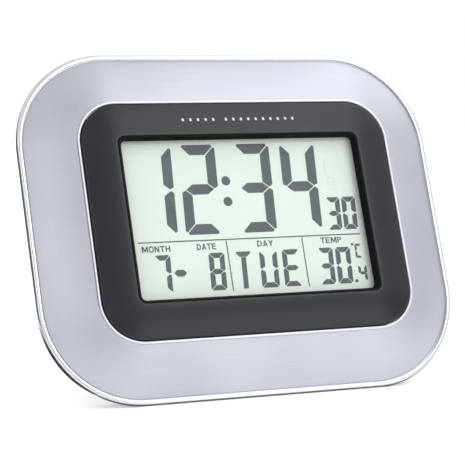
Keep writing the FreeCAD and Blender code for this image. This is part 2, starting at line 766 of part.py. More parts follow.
# Back cover: tapered tray with the battery well, the leg's recess, the keyhole and the bosses
cover = newBody("back_cover")
pad(cover, "coverFront", "-backDepth", rounded("coverWidth", "coverHeight", "coverRadius"),
    taper="-coverTaper")
roundEdges(cover, "coverRounding", "-backDepth")


def turned(angle, along, drop):
    """Clock frame's y and z of a point given along the table and down from it, tilted by an angle."""
    return (f"-({along}) * sin({angle} * 1 deg) - ({drop}) * cos({angle} * 1 deg)",
            f"({along}) * cos({angle} * 1 deg) - ({drop}) * sin({angle} * 1 deg)")


footAlong = "(baseRoundY * sin(caseLean * 1 deg) - (backDepth - coverRounding) * cos(caseLean * 1 deg))"
footCorners = [(-1, 0), (1, 0), (1, 1), (-1, 1)]
footSpot = turned("caseLean", footAlong, "-(baseLevel)")
cutOut(cover, "-caseWidth / 2", "caseWidth / 2",
       polygon(*[turned("caseLean", f"{footAlong} + {along} * coverRounding", f"{drop} - (baseLevel)")
                 for along, drop in footCorners]), plane="YZ_Plane")
cutOut(cover, "coverFront", "coverInner",
       rounded("coverWidth - 2 * coverWall", "coverHeight - 2 * coverWall", "coverRadius - coverWall"),
       taper="-coverTaper")
embed = "coverInner - coverEmbed"
sideOfDoor = "doorWidth / 2 + doorGap"
doorRecessTop = "doorAxisY + doorHeel + doorGap * 2"
doorRecessLow = "doorBottom - doorGap"
pad(cover, embed, "doorFloor + doorThickness",
    box(f"-({sideOfDoor} + wellWall)", f"{sideOfDoor} + wellWall", f"{doorRecessLow} - 1",
        f"{doorRecessTop} + wellWall"))
pad(cover, embed, "wellTop",
    rectangle("wellWidth + 2 * wellWall", "wellHeight + 2 * wellWall", "0", "wellY"))
pad(cover, embed, "recessFloor + coverWall",
    box("-(recessWidth / 2 + recessWall)", "recessWidth / 2 + recessWall", "recessBottom - recessWall",
        "recessTop + recessWall"))
keyCavityY = "keyholeY + keyholeTravel / 2"
pad(cover, embed, "coverInner + keyholeCavityDepth + keyholeRoof",
    rectangle("keyholeCavityWidth + 2 * keyholeWall", "keyholeCavityHeight + 2 * keyholeWall", "0",
              keyCavityY))
pad(cover, embed, "coverFront", *circles("caseBoss", caseScrews))
pad(cover, embed, "keyBoardBack", *circles("keyPostRadius", keyScrews))
receiverPins = [(f"receiverX + {side} * receiverPinX", "receiverY") for side in (1, -1)]
receiverBack = "-(receiverDepth + receiverThickness)"
pad(cover, embed, receiverBack, *circles("receiverPost", receiverPins))
pad(cover, f"{receiverBack} - receiverPinReach", "-receiverDepth + receiverPinReach",
    *circles("receiverPin", receiverPins))

cutOut(cover, "-backDepth", "wellInner", rectangle("wellWidth", "wellHeight", "0", "wellY"))
cutOut(cover, "-backDepth", "doorFloor", box(f"-({sideOfDoor})", sideOfDoor, doorRecessLow, doorRecessTop))
cutOut(cover, "-backDepth", "doorFloor + doorHeel",
       box(f"-({sideOfDoor})", sideOfDoor, "doorAxisY - 2 * (doorHeel + doorPinFit)", doorRecessTop))
cutOut(cover, "-backDepth", "-backDepth + doorThickness / 2", circle("doorNotch", "0", doorRecessLow))
doorHoleReach = "doorWidth / 2 + doorPinLength + doorPinFit * 2"
cutOut(cover, f"-({doorHoleReach})", doorHoleReach,
       circle("doorPin + doorPinFit", "doorAxisY", "doorAxisZ"), plane="YZ_Plane")

cutOut(cover, "-backDepth", "recessFloor",
       box("-recessWidth / 2", "recessWidth / 2", "recessBottom", "recessTop"))
cutOut(cover, "-backDepth - 1", "-backDepth + fingerNotchDepth",
       box("-fingerNotch / 2", "fingerNotch / 2", "recessBottom - 12", "recessBottom + 1"))
legHoleReach = "legWidth / 2 + legPinLength + legPinFit"
cutOut(cover, f"-({legHoleReach})", legHoleReach,
       circle("legPin + legPinFit", "legPivotY", "-legPivotDepth"), plane="YZ_Plane")

cutOut(cover, "coverInner + keyholeCavityDepth", "coverInner",
       rectangle("keyholeCavityWidth", "keyholeCavityHeight", "0", keyCavityY))
cutOut(cover, "-backDepth", "coverInner", circle("keyholeHead", "0", "keyholeY"))
cutOut(cover, "-backDepth", "coverInner", rectangle("2 * keyholeNeck", "keyholeTravel", "0", keyCavityY))
cutOut(cover, "-backDepth", "coverInner", circle("keyholeNeck", "0", "keyholeY + keyholeTravel"))

buttonNames = ["button_set", "button_wave", "button_plus", "button_minus", "button_unit"]
buttonSpots = [("-buttonX", f"{2 - i} * buttonPitch") for i in range(len(buttonNames))]
for x, y in buttonSpots:
    cutOut(cover, "-backDepth", "coverInner",
           rounded("buttonWidth + 2 * buttonGap", "buttonHeight + 2 * buttonGap",
                   "buttonRadius + buttonGap", x, y))
vents = [("ventX", f"ventY + {i} * ventPitch") for i in range(-3, 4)]
cutOut(cover, "-backDepth", "coverInner", *rectangles("ventWidth", "ventHeight", vents))
cutOut(cover, "-backDepth", "coverFront", *circles("caseScrewClearance", caseScrews))
cutOut(cover, "-backDepth", "-backDepth + counterboreDepth", *circles("counterbore", caseScrews))
cutOut(cover, "keyBoardBack", "keyBoardBack - screwLength + boardThickness - pilotFloor",
       *circles("screwHole", keyScrews))
contactRows = ["wellY + cellPitch / 2", "wellY - cellPitch / 2"]
contactSpots = [(y, "cellAxis") for y in contactRows]
cutOut(cover, "-(wellWidth / 2 + wellWall + coverEmbed)", "-(wellWidth / 2 - contactGap)",
       *rectangles("tabWidth + 2 * doorGap", "contactThickness + 2 * doorGap", contactSpots),
       plane="YZ_Plane")

crossHeadScrews("case_screws", "-backDepth + counterboreDepth",
                "backDepth - counterboreDepth - seamDepth + 3",
                "caseScrewShank", "caseScrewHead", "caseScrewHeadHeight", caseScrews)

# Fold-out leg: in its own frame the pivot is the origin and the plate hangs down -y
leg = newBody("stand_leg")
half = "legThickness / 2"
pad(leg, "-legWidth / 2", "legWidth / 2",
    polygon(("legStopY", half), ("legHeel", "legStopZ"), ("legHeel", f"-({half})"),
            ("-legLength", f"-({half})"), ("-legLength", half)), plane="YZ_Plane")
pad(leg, "-legWidth / 2", "legWidth / 2", circle(half, "-legLength", "0"), plane="YZ_Plane")
pad(leg, "-(legWidth / 2 + legPinLength)", "legWidth / 2 + legPinLength", circle("legPin"),
    plane="YZ_Plane")
tipDrop = f"{half} - footLand"
tipLevel = "-legLength * cos((legAngle - caseLean) * 1 deg)"
tipAlong = "legLength * sin((legAngle - caseLean) * 1 deg)"
cutOut(leg, "-legWidth / 2", "legWidth / 2",
       polygon(*[turned("(caseLean - legAngle)", f"-({tipAlong}) + {along} * legThickness",
                        f"{drop} - ({tipLevel}) + {tipDrop}") for along, drop in footCorners]),
       plane="YZ_Plane")
panelStep = "(legPanelHeight + legPanelSpacing)"
panelY = f"-legLength + 2 * legPanelSpacing + legPanelHeight / 2"
cutOut(leg, f"-({half})", f"-({half}) + legPanelDepth",
       *[rounded("legWidth - 2 * legPanelMargin", "legPanelHeight", "legPanelSpacing", "0",
                 f"{panelY} + {i} * {panelStep}") for i in range(3)])

# Battery well fittings and the two cells
contacts = [("positive_contact", -1, "wellY - cellPitch / 2", "contactWidth", True),
            ("negative_contact", -1, "wellY + cellPitch / 2", "contactWidth", True),
            ("bridge_contact", 1, "wellY", "cellPitch + contactWidth", False)]
for label, side, y, width, tabbed in contacts:
    outer = f"{side} * (wellWidth / 2 - contactGap)"
    inner = f"{side} * (wellWidth / 2 - contactGap - contactThickness)"
    contact = newBody(label)
    pad(contact, outer, inner, rectangle(width, "contactHeight", y, "cellAxis"), plane="YZ_Plane")
    if tabbed:
        pad(contact, inner, f"{outer} + {side} * tabLength",
            rectangle("tabWidth", "contactThickness", y, "cellAxis"), plane="YZ_Plane")

cellTip = "wellWidth / 2 - contactThickness - contactGap * 1.5"
for label, side, y in [("battery_upper", 1, "wellY + cellPitch / 2"),
                       ("battery_lower", -1, "wellY - cellPitch / 2")]:
    cell = newBody(label)
    revolve(cell, ("0", "0"), ("0", "cellRadius - cellRounding"),
            ("cellRounding / 2", "cellRadius - cellRounding / 4"), ("1.5 * cellRounding", "cellRadius"),
            ("cellLength - cellNubLength - cellRounding", "cellRadius"),
            ("cellLength - cellNubLength", "cellRadius - cellRounding"),
            ("cellLength - cellNubLength", "cellNubRadius"),
            ("cellLength", "cellNubRadius - cellRounding / 2"), ("cellLength", "0"))
    turn = FreeCAD.Rotation(FreeCAD.Vector(0, 0, 1), 0 if side > 0 else 180)
    start = spot(f"{side} * ({cellTip} - cellLength)", y, "cellAxis")
    ownPlace[label] = FreeCAD.Placement(start, turn)


def arcFrom(start, direction, end):
    """Arc that leaves a point in a given direction and ends at another point."""
    chord = end - start
    along = chord.normalize()
    reach = (end - start).Length
    side = direction - along * direction.dot(along)
    bend = direction.getAngle(end - start)
    middle = (start + end) / 2 + side.normalize() * (reach / 2 * math.tan(bend / 2))
    return Part.Arc(start, middle, end).toShape()


def biarc(start, startWay, end, endWay):
    """Two arcs that meet smoothly and join two points along given directions."""
    span = end - start
    ways = startWay + endWay
    spread = 2 * (1 - startWay.dot(endWay))
    root = math.sqrt(span.dot(ways) ** 2 + spread * span.dot(span))
    reach = (root - span.dot(ways)) / spread
    meet = (start + startWay * reach + end - endWay * reach) / 2
    return [arcFrom(start, startWay, meet), arcFrom(end, endWay * -1, meet)]


def coneSpring():
    """Battery spring along +x that narrows from its wide end, as one unbroken tube."""
    wire, turns = value("springWire"), value("springTurns")
    length = value("springLength") - 2 * wire
    wide, narrow = value("springWide"), value("springNarrow")

    def radius(share):
        return wide + (narrow - wide) * share

    def place(share):
        angle = 2 * math.pi * turns * share
        return FreeCAD.Vector(wire + length * share, radius(share) * math.cos(angle),
                              radius(share) * math.sin(angle))

    def way(share):
        step = 1e-5
        return (place(share + step) - place(share - step)).normalize()

    count = round(turns * 4)
    edges = []
    for i in range(count):
        a, b = i / count, (i + 1) / count
        edges += biarc(place(a), way(a), place(b), way(b))
    samples = [place(i / (count * 6)) for i in range(count * 6 + 1)]
    pairs = [(a, b) for i, a in enumerate(samples) for b in samples[i + 12:]]
    least = min((a - b).Length for a, b in pairs)
    print(f"spring: least gap between turns {least - 2 * wire:.2f} mm")
    section = Part.Wire([Part.makeCircle(wire, place(0), way(0))])
    return Part.Wire(Part.__sortEdges__(edges)).makePipeShell([section], True, False)


spring = coneSpring()
springs = []
for side, y in [(-1, "wellY + cellPitch / 2"), (1, "wellY - cellPitch / 2")]:
    placed = spring.copy()
    turn = FreeCAD.Rotation(FreeCAD.Vector(0, 0, 1), 0 if side < 0 else 180)
    seat = spot(f"{side} * (wellWidth / 2 - contactGap - contactThickness)", y, "cellAxis")
    placed.Placement = FreeCAD.Placement(seat, turn)
    springs.append(placed)
shaped("battery_springs", Part.makeCompound(springs))

# Battery door: in its own frame the hinge axis is the origin
door = newBody("battery_door")
doorBack = "-doorAxisDepth"
doorInner = "doorThickness - doorAxisDepth"
doorReach = "doorAxisY - doorBottom"
pad(door, "-doorWidth / 2", "doorWidth / 2",
    polygon((f"-({doorReach})", doorBack), ("doorHeel - doorChamfer", doorBack),
            ("doorHeel", f"{doorBack} + doorChamfer"), ("doorHeel", f"{doorInner} - doorChamfer"),
            ("doorHeel - doorChamfer", doorInner), (f"-({doorReach})", doorInner)), plane="YZ_Plane")
pad(door, "-(doorWidth / 2 + doorPinLength)", "doorWidth / 2 + doorPinLength", circle("doorPin"),
    plane="YZ_Plane")
cutOut(door, doorBack, f"{doorBack} + doorRidgeDepth",
       *[rectangle(f"doorRidgeLength - {i} * doorRidgeTaper", "doorRidgeWidth", "0",
                   f"-({doorReach}) + doorRidgeInset + {i} * doorRidgePitch") for i in range(5)])

# Buttons on the back, each with a flange inside the cover, over a switch on the key board
for label, (x, y) in zip(buttonNames, buttonSpots):
    button = plate(label, "buttonInner", "-(backDepth + buttonProud)",
                   rounded("buttonWidth", "buttonHeight", "buttonRadius", x, y))
    roundEdges(button, "buttonRounding", "-(backDepth + buttonProud)")
    pad(button, "buttonInner", "buttonInner - buttonFlangeHeight",
        rounded("buttonWidth + 2 * buttonFlange", "buttonHeight + 2 * buttonFlange", "buttonRadius",
                x, y))
keyBoard = plate("key_board", "keyBoardBack", "keySeat",
                 rounded("keyBoardWidth", "keyBoardHeight", "keyBoardRadius", "-buttonX"))
cutOut(keyBoard, "keyBoardBack", "keySeat", *circles("boardHole", keyScrews))
crossHeadScrews("key_board_screws", "keySeat", "screwLength", "screwShank", "screwHead", "screwHeadHeight",
                keyScrews, forward=-1)
switches = plate("key_switches", "keyBoardBack", "keyBoardBack - switchHeight",
                 *rectangles("switchSize", "switchSize", buttonSpots))
pad(switches, "keyBoardBack - switchHeight + 0.5", "keyBoardBack - switchHeight - switchPlungerHeight",
    *circles("switchPlunger", buttonSpots))
header = plate("board_header", "boardBack", "boardBack - headerHeight",
               rectangle("5 * headerPitch", "headerPitch", "-buttonX", "headerY"))
headerPins = [(f"-buttonX + {i} * headerPitch", "headerY") for i in range(-2, 3)]
pad(header, "boardBack - headerHeight / 2", "keySeat", *rectangles("headerPin", "headerPin", headerPins))

# Radio receiver: ferrite aerial in two saddles and the receiver board on its pegs
rodSpan = ("-(rodX + rodLength / 2)", "-(rodX - rodLength / 2)")
coilSpan = ("-(rodX + coilLength / 2)", "-(rodX - coilLength / 2)")
rod = newBody("ferrite_rod")
pad(rod, *rodSpan, circle("rodRadius", "rodY", "-rodDepth"), plane="YZ_Plane")
coil = newBody("aerial_coil")
pad(coil, *coilSpan, circle("coilRadius", "rodY", "-rodDepth"), plane="YZ_Plane")
cutOut(coil, *coilSpan, circle("rodRadius + coilFit", "rodY", "-rodDepth"), plane="YZ_Plane")
saddles = plate("aerial_holder", "coverInner", "coverInner + saddleBase",
                rectangle("rodLength + saddleMargin", "saddleWidth", "-rodX", "rodY"))
saddleSpots = [(f"-rodX + {side} * saddleReach", "rodY") for side in (1, -1)]
pad(saddles, "coverInner", "-rodDepth + rodRadius / 2",
    *rectangles("saddleThickness", "saddleWidth", saddleSpots))
cutOut(saddles, *rodSpan, circle("rodRadius + coilFit", "rodY", "-rodDepth"), plane="YZ_Plane")
cutOut(saddles, "-rodDepth + rodRadius", "-rodDepth",
       rectangle("rodLength + 2 * saddleMargin", "saddleMouth", "-rodX", "rodY"))
receiver = plate("receiver_board", "-receiverDepth", receiverBack,
                 rounded("receiverWidth", "receiverHeight", "receiverThickness", "receiverX", "receiverY"))
cutOut(receiver, "-receiverDepth", receiverBack, *circles("receiverPin + coilFit", receiverPins))
plate("receiver_chip", "-receiverDepth", "-receiverDepth + receiverChipThickness",
      rectangle("receiverChipWidth", "receiverChipHeight", "receiverX - 1",
                "receiverY - receiverChipHeight"))
tuning = newBody("receiver_crystal")
pad(tuning, "receiverX - tuningLength / 2", "receiverX + tuningLength / 2",
    circle("tuningRadius", "receiverY + receiverHeight * 0.3", "-receiverDepth + tuningRadius"),
    plane="YZ_Plane")


def lead(points, radius):
    """Round wire along straight runs joined by tangent arcs."""
    edges = []
    start = points[0]
    for before, corner, after in zip(points, points[1:], points[2:]):
        into = (corner - before).normalize()
        out = (after - corner).normalize()
        reach = 0.45 * min((corner - before).Length, (after - corner).Length)
        first, last = corner - into * reach, corner + out * reach
        middle = corner + (out - into).normalize() * (reach * (math.sqrt(2) - 1))
        edges += [Part.LineSegment(start, first).toShape(), Part.Arc(first, middle, last).toShape()]
        start = last
    edges.append(Part.LineSegment(start, points[-1]).toShape())
    path = Part.Wire(edges)
    section = Part.Wire([Part.makeCircle(radius, points[0], points[1] - points[0])])
    return path.makePipeShell([section], True, False)


wire, thinWire = value("leadRadius"), value("thinLeadRadius")
tabEnd = "-(wellWidth / 2 - contactGap + tabLength)"
batteryLeads = [lead([spot(tabEnd, y, "cellAxis"), spot("-leadDropX", y, "cellAxis"),
                      spot("-leadDropX", y, "boardBack")], wire) for y in contactRows]
shaped("battery_leads", Part.makeCompound(batteryLeads))
aerialLevel = "-rodDepth + (rodRadius + coilRadius) / 2"
aerialEnd = "receiverX - receiverWidth / 4"
aerialLeads = [lead([spot(coilSpan[1], f"rodY + {dy}", aerialLevel),
                     spot(aerialEnd, f"rodY + {dy}", aerialLevel),
                     spot(aerialEnd, f"rodY + {dy}", "-receiverDepth")], thinWire) for dy in (-0.8, 0.8)]
shaped("aerial_leads", Part.makeCompound(aerialLeads))
linkLevel = "boardBack - linkClearance"
linkEnd = "boardHeight / 2 - linkInset"
linkY = "receiverY - receiverHeight * 0.4"
linkLeads = []
for i in (2, 3, 4):
    x = f"receiverX + {i} * linkPitch"
    linkLeads.append(lead([spot(x, linkY, "-receiverDepth"), spot(x, linkY, linkLevel),
                           spot(x, linkEnd, linkLevel), spot(x, linkEnd, "boardBack")], wire))
shaped("receiver_leads", Part.makeCompound(linkLeads))

# Liquid crystal pattern: seven-stroke digits, the colon, the degree mark and the ruled lines
strokeSets = {"0": "abcdef", "1": "bc", "2": "abged", "3": "abgcd", "4": "fgbc", "7": "abc", "8": "abcdefg",
              "U": "bcdef", "E": "adefg", "C": "adef", "T": "am"}


def strokeOutline(name, w, h, s):
    """Corners of one stroke of an upright digit of width w and height h, stroke width s."""
    gap = 0.07 * s
    cut = 0.2 * s
    mid = h / 2
    tip = s / 2
    if name in "ad":
        end = gap + cut
        bar = [(end + cut / 2, h), (w - end - cut / 2, h), (w - end, h - cut), (w - s - gap, h - s),
               (s + gap, h - s), (end, h - cut)]
        return bar if name == "a" else [(x, h - y) for x, y in bar]
    if name == "g":
        return [(s * 0.35 + gap, mid), (s + gap, mid + tip), (w - s - gap, mid + tip),
                (w - s * 0.35 - gap, mid),
                (w - s - gap, mid - tip), (s + gap, mid - tip)]
    if name == "m":
        return [(w / 2 - tip, gap), (w / 2 + tip, gap), (w / 2 + tip, h - s - gap),
                (w / 2 - tip, h - s - gap)]
    side = [(w, h - gap - cut * 1.5), (w - cut, h - gap - cut), (w - s, h - s - gap),
            (w - s, mid + tip + gap),
            (w - s * 0.35, mid + gap), (w, mid + gap + cut)]
    if name in "ef":
        side = [(w - x, y) for x, y in side]
    if name in "ce":
        side = [(x, h - y) for x, y in side]
    return side


segmentFront, segmentDepth = value("segmentFront"), value("segmentThickness")
patternShift = spot("patternX", "patternY", "segmentFront")


def flat(points):
    """Thin plate of the liquid crystal layer with the given corners."""
    wire = Part.makePolygon([FreeCAD.Vector(x, y, 0) + patternShift for x, y in points + points[:1]])
    return Part.Face(wire).extrude(FreeCAD.Vector(0, 0, -segmentDepth))


def dot(x, y, r):
    return Part.makeCylinder(r, segmentDepth, FreeCAD.Vector(x, y, 0) + patternShift,
                             FreeCAD.Vector(0, 0, -1))


def digit(mark, x, y, w, h, s):
    slant = math.tan(math.radians(value("digitSlant")))
    return [flat([(x + px + py * slant, y + py) for px, py in strokeOutline(name, w, h, s)])
            for name in strokeSets[mark]]


smallStroke = value("smallStroke")
timeSize = (value("timeDigitWidth"), value("timeDigitHeight"), value("timeStroke"))
secondSize = (value("smallDigitWidth"), value("smallDigitHeight"), smallStroke)
rowSize = (value("rowDigitWidth"), value("rowDigitHeight"), smallStroke)
letterSize = (value("letterWidth"), value("rowDigitHeight"), smallStroke)
tenthSize = (value("tenthWidth"), value("tenthHeight"), value("tenthStroke"))
unitSize = (value("unitWidth"), value("unitHeight"), value("unitStroke"))
pattern = []
marks = [("1", -60.1, -8.4, timeSize), ("2", -35.8, -8.4, timeSize), ("3", -5.2, -8.4, timeSize),
         ("4", 20.8, -8.4, timeSize), ("3", 44.2, -8.8, secondSize), ("0", 53.4, -8.8, secondSize),
         ("7", -55.7, -37.6, rowSize), ("8", -26.4, -37.6, rowSize), ("T", -12.2, -37.6, letterSize),
         ("U", 1.6, -37.6, letterSize), ("E", 14.4, -37.6, letterSize), ("3", 34.8, -37.6, rowSize),
         ("0", 44.9, -37.6, rowSize), ("4", 57.2, -36.9, tenthSize), ("C", 57.2, -24.4, unitSize)]
for mark, x, y, size in marks:
    pattern += digit(mark, x, y, *size)
pattern += [dot(-9.8, 19.4, 2.45), dot(-10.3, 8.4, 2.45), dot(55.6, -36.6, 0.9), dot(56.2, -17.0, 0.75)]
dashX, dashY = -41.75, -27.8
dashTip, dashEdge = value("dashWidth") / 2, value("dashHeight") / 2
pattern.append(flat([(dashX - dashTip, dashY), (dashX - dashTip + dashEdge, dashY + dashEdge),
                     (dashX + dashTip - dashEdge, dashY + dashEdge), (dashX + dashTip, dashY),
                     (dashX + dashTip - dashEdge, dashY - dashEdge),
                     (dashX - dashTip + dashEdge, dashY - dashEdge)]))
rule = value("ruleThickness") / 2
ruleY, ruleLow = -11.5, -38.2
for left, right, low, high in [(-62.2, 61.9, ruleY - rule, ruleY + rule),
                               (-14.6 - rule, -14.6 + rule, ruleLow, ruleY - 2 * rule),
                               (27.9 - rule, 27.9 + rule, ruleLow, ruleY - 2 * rule)]:
    pattern.append(flat([(left, low), (right, low), (right, high), (left, high)]))
shaped("display_segments", Part.makeCompound(pattern))
doc.recompute()

# Stand the clock: turn the clock frame upright, lean it back, seat it on the table
legTurn = FreeCAD.Rotation(FreeCAD.Vector(1, 0, 0), value("legAngle"))
ownPlace["stand_leg"] = FreeCAD.Placement(spot("0", "legPivotY", "-legPivotDepth"), legTurn)
ownPlace["battery_door"] = FreeCAD.Placement(spot("0", "doorAxisY", "doorAxisZ"), FreeCAD.Rotation())
upright = FreeCAD.Placement(FreeCAD.Vector(), FreeCAD.Rotation(FreeCAD.Vector(1, 0, 0),
                                                               90 - value("caseLean")))


def standAll(base):
    for label, piece in parts.items():
        own = ownPlace.get(label, FreeCAD.Placement())
        piece.Placement = base.multiply(upright).multiply(own)
    doc.recompute()


standAll(FreeCAD.Placement())
extent = FreeCAD.BoundBox()
for piece in parts.values():
    extent.add(piece.Shape.optimalBoundingBox(True, False))
base = FreeCAD.Placement(FreeCAD.Vector(-extent.Center.x, -extent.Center.y, -extent.ZMin),
                         FreeCAD.Rotation())
standAll(base)

for piece in doc.Objects:
    if "Invalid" in piece.State or "Error" in piece.State:
        raise RuntimeError(f"{piece.Label} failed")
for label, piece in parts.items():
    if piece.Shape.isNull() or not piece.Shape.isValid():
        raise RuntimeError(f"{label} has no valid shape")

os.makedirs("parts", exist_ok=True)
for label, piece in parts.items():
    piece.Shape.exportStep(f"parts/{label}.step")

stood = base.multiply(upright)
spots = {
    "face middle": spot("0", "0", "0"),
    "leg hinge": spot("0", "legPivotY", "-legPivotDepth"),
    "door hinge": spot("0", "doorAxisY", "doorAxisZ"),
    "keyhole neck": spot("0", "keyholeY + keyholeTravel", "-backDepth"),
    "keyhole entry": spot("0", "keyholeY", "coverInner + keyholeCavityDepth / 2"),
    "foot land": spot("0", *footSpot),
}
for name, place in spots.items():
    place = stood.multVec(place)
    print(f"{name}: {place.x:.4f} {place.y:.4f} {place.z:.4f}")
for label, piece in parts.items():
    print(f"{label}: {len(piece.Shape.Solids)} solids, {piece.Shape.Volume:.1f} mm3")
print(f"leg angle {value('legAngle'):.3f}, lean {value('caseLean'):.3f} degrees")
print(f"size {extent.XLength:.2f} x {extent.YLength:.2f} x {extent.ZLength:.2f} mm, {len(parts)} nodes")
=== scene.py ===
import math
import bmesh
import bpy
from mathutils import Matrix, Vector


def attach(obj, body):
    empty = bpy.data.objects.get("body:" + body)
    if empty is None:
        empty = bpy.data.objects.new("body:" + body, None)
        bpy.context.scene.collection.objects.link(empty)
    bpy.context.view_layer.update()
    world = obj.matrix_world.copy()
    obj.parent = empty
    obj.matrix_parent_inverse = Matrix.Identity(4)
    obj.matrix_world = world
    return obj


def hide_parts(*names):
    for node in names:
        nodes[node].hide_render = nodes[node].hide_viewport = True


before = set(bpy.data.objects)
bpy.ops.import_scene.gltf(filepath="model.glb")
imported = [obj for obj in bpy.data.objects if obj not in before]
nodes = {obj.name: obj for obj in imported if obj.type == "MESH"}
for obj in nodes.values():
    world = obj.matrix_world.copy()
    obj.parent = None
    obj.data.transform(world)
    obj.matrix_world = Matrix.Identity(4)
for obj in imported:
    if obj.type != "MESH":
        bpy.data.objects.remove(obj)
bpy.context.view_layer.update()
mm = 0.001

# The clock's own frame: x to the right, y up the face, z out of the face
clock = {
    "faceMiddle": (0.0, -15.2127, 89.1714),  # middle of the bezel's outer edge, mm
    "lean": 20.797,  # degrees back from upright
}
faceMatrix = (Matrix.Translation(Vector(clock["faceMiddle"]) * mm)
              @ Matrix.Rotation(math.radians(90 - clock["lean"]), 4, "X"))
faceFrame = bpy.data.objects.new("faceFrame", None)
faceFrame.matrix_world = faceMatrix
bpy.context.scene.collection.objects.link(faceFrame)


def linear(hexColour, alpha=1.0):  # sRGB hex to the linear values that a socket takes
    channels = [int(hexColour[i:i + 2], 16) / 255 for i in (1, 3, 5)]
    return [c / 12.92 if c <= 0.04045 else ((c + 0.055) / 1.055) ** 2.4 for c in channels] + [alpha]


def addNode(material, kind, settings=None, links=None):  # a node with its settings and links
    node = material.node_tree.nodes.new(kind)
    for name, setting in (settings or {}).items():
        if isinstance(name, int) or name in node.inputs:
            node.inputs[name].default_value = setting
        else:
            setattr(node, name, setting)
    for name, source in (links or {}).items():
        material.node_tree.links.new(source, node.inputs[name])
    return node


def newMaterial(name):
    material = bpy.data.materials.new(name)
    material.use_nodes = True
    material.node_tree.nodes.clear()
    return material


def finishMaterial(material, shader):
    output = addNode(material, "ShaderNodeOutputMaterial", links={"Surface": shader.outputs[0]})
    output.is_active_output = True
    return material


def place(material):  # coordinates of the clock's own frame, in metres
    return addNode(material, "ShaderNodeTexCoord", {"object": faceFrame}).outputs["Object"]


wear = {"samples": 4, "flat": 0.995, "edge": 0.8}  # likeness of the rounded and the true normal


def edgeWear(material, radius):  # 1 along sharp edges, 0 on flats
    rounded = addNode(material, "ShaderNodeBevel",
                      {"samples": wear["samples"], "Radius": radius * mm})
    flat = addNode(material, "ShaderNodeNewGeometry")
    likeness = addNode(material, "ShaderNodeVectorMath", {"operation": "DOT_PRODUCT"},
                       {0: rounded.outputs[0], 1: flat.outputs["Normal"]})
    return addNode(material, "ShaderNodeMapRange",
                   {"From Min": wear["flat"], "From Max": wear["edge"]},
                   {"Value": likeness.outputs["Value"]}).outputs[0]


def moulded(name, look):  # moulded plastic: spark texture, faint cloudiness, rubbed edges
    spread, texture = 0.05, 0.05  # change of roughness over the surface, depth of the texture in mm
    material = newMaterial(name)
    where = place(material)
    cloud = addNode(material, "ShaderNodeTexNoise",
                    {"Scale": 1 / (look["cloud"] * mm), "Detail": 3.0}, {"Vector": where})
    grain = addNode(material, "ShaderNodeTexNoise",
                    {"Scale": 1 / (look["grain"] * mm), "Detail": 2.0}, {"Vector": where})
    body = addNode(material, "ShaderNodeMix",
                   {"data_type": "RGBA", 6: linear(look["colour"]), 7: linear(look["shade"])},
                   {0: cloud.outputs["Fac"]})
    worn = addNode(material, "ShaderNodeMix", {"data_type": "RGBA", 7: linear(look["edge"])},
                   {0: edgeWear(material, look["edgeWidth"]), 6: body.outputs[2]})
    rough = addNode(material, "ShaderNodeMapRange",
                    {"To Min": look["roughness"] - spread, "To Max": look["roughness"] + spread},
                    {"Value": cloud.outputs["Fac"]})
    bump = addNode(material, "ShaderNodeBump",
                   {"Strength": look["bump"], "Distance": texture * mm},
                   {"Height": grain.outputs["Fac"]})
    shader = addNode(material, "ShaderNodeBsdfPrincipled",
                     {"IOR": 1.5, "Metallic": look.get("metallic", 0.0),
                      "Specular IOR Level": look.get("gloss", 0.5)},
                     {"Base Color": worn.outputs[2], "Roughness": rough.outputs[0],
                      "Normal": bump.outputs[0]})
    return finishMaterial(material, shader)


# Silver lacquer on ABS, sprayed: flake under a clear coat, smooth, picks up the room as soft bands
rimLook = {"colour": "#d0d2d8", "shade": "#c9ccd2", "metallic": 0.9, "smooth": 0.21, "dull": 0.29,
           "coat": 0.35, "coatRoughness": 0.06, "cloud": 25.0}
# The bead inside the fascia has the same lacquer, rubbed duller by cleaning: a soft pale line
beadLook = {"colour": "#c3c5cb", "shade": "#bbbdc4", "metallic": 0.85, "smooth": 0.33, "dull": 0.41,
            "coat": 0.1, "coatRoughness": 0.15, "cloud": 25.0}


def lacqueredSilver(name, look):
    material = newMaterial(name)
    where = place(material)
    cloud = addNode(material, "ShaderNodeTexNoise",
                    {"Scale": 1 / (look["cloud"] * mm), "Detail": 3.0}, {"Vector": where})
    body = addNode(material, "ShaderNodeMix",
                   {"data_type": "RGBA", 6: linear(look["colour"]), 7: linear(look["shade"])},
                   {0: cloud.outputs["Fac"]})
    rough = addNode(material, "ShaderNodeMapRange",
                    {"To Min": look["smooth"], "To Max": look["dull"]},
                    {"Value": cloud.outputs["Fac"]})
    shader = addNode(material, "ShaderNodeBsdfPrincipled",
                     {"Metallic": look["metallic"], "Coat Weight": look["coat"],
                      "Coat Roughness": look["coatRoughness"]},
                     {"Base Color": body.outputs[2], "Roughness": rough.outputs[0]})
    return finishMaterial(material, shader)


# Silver lacquer over a brushed mould: long fine streaks across the face, satin
fasciaLook = {"colour": "#bcbec6", "shade": "#b1b3bc", "metallic": 0.8, "smooth": 0.37, "dull": 0.5,
              "streakLength": 60.0, "streakWidth": 0.5, "streakShare": 0.5, "bump": 0.08,
              "streakDepth": 0.02, "cloud": 70.0, "mixed": (0.5, 1.0)}


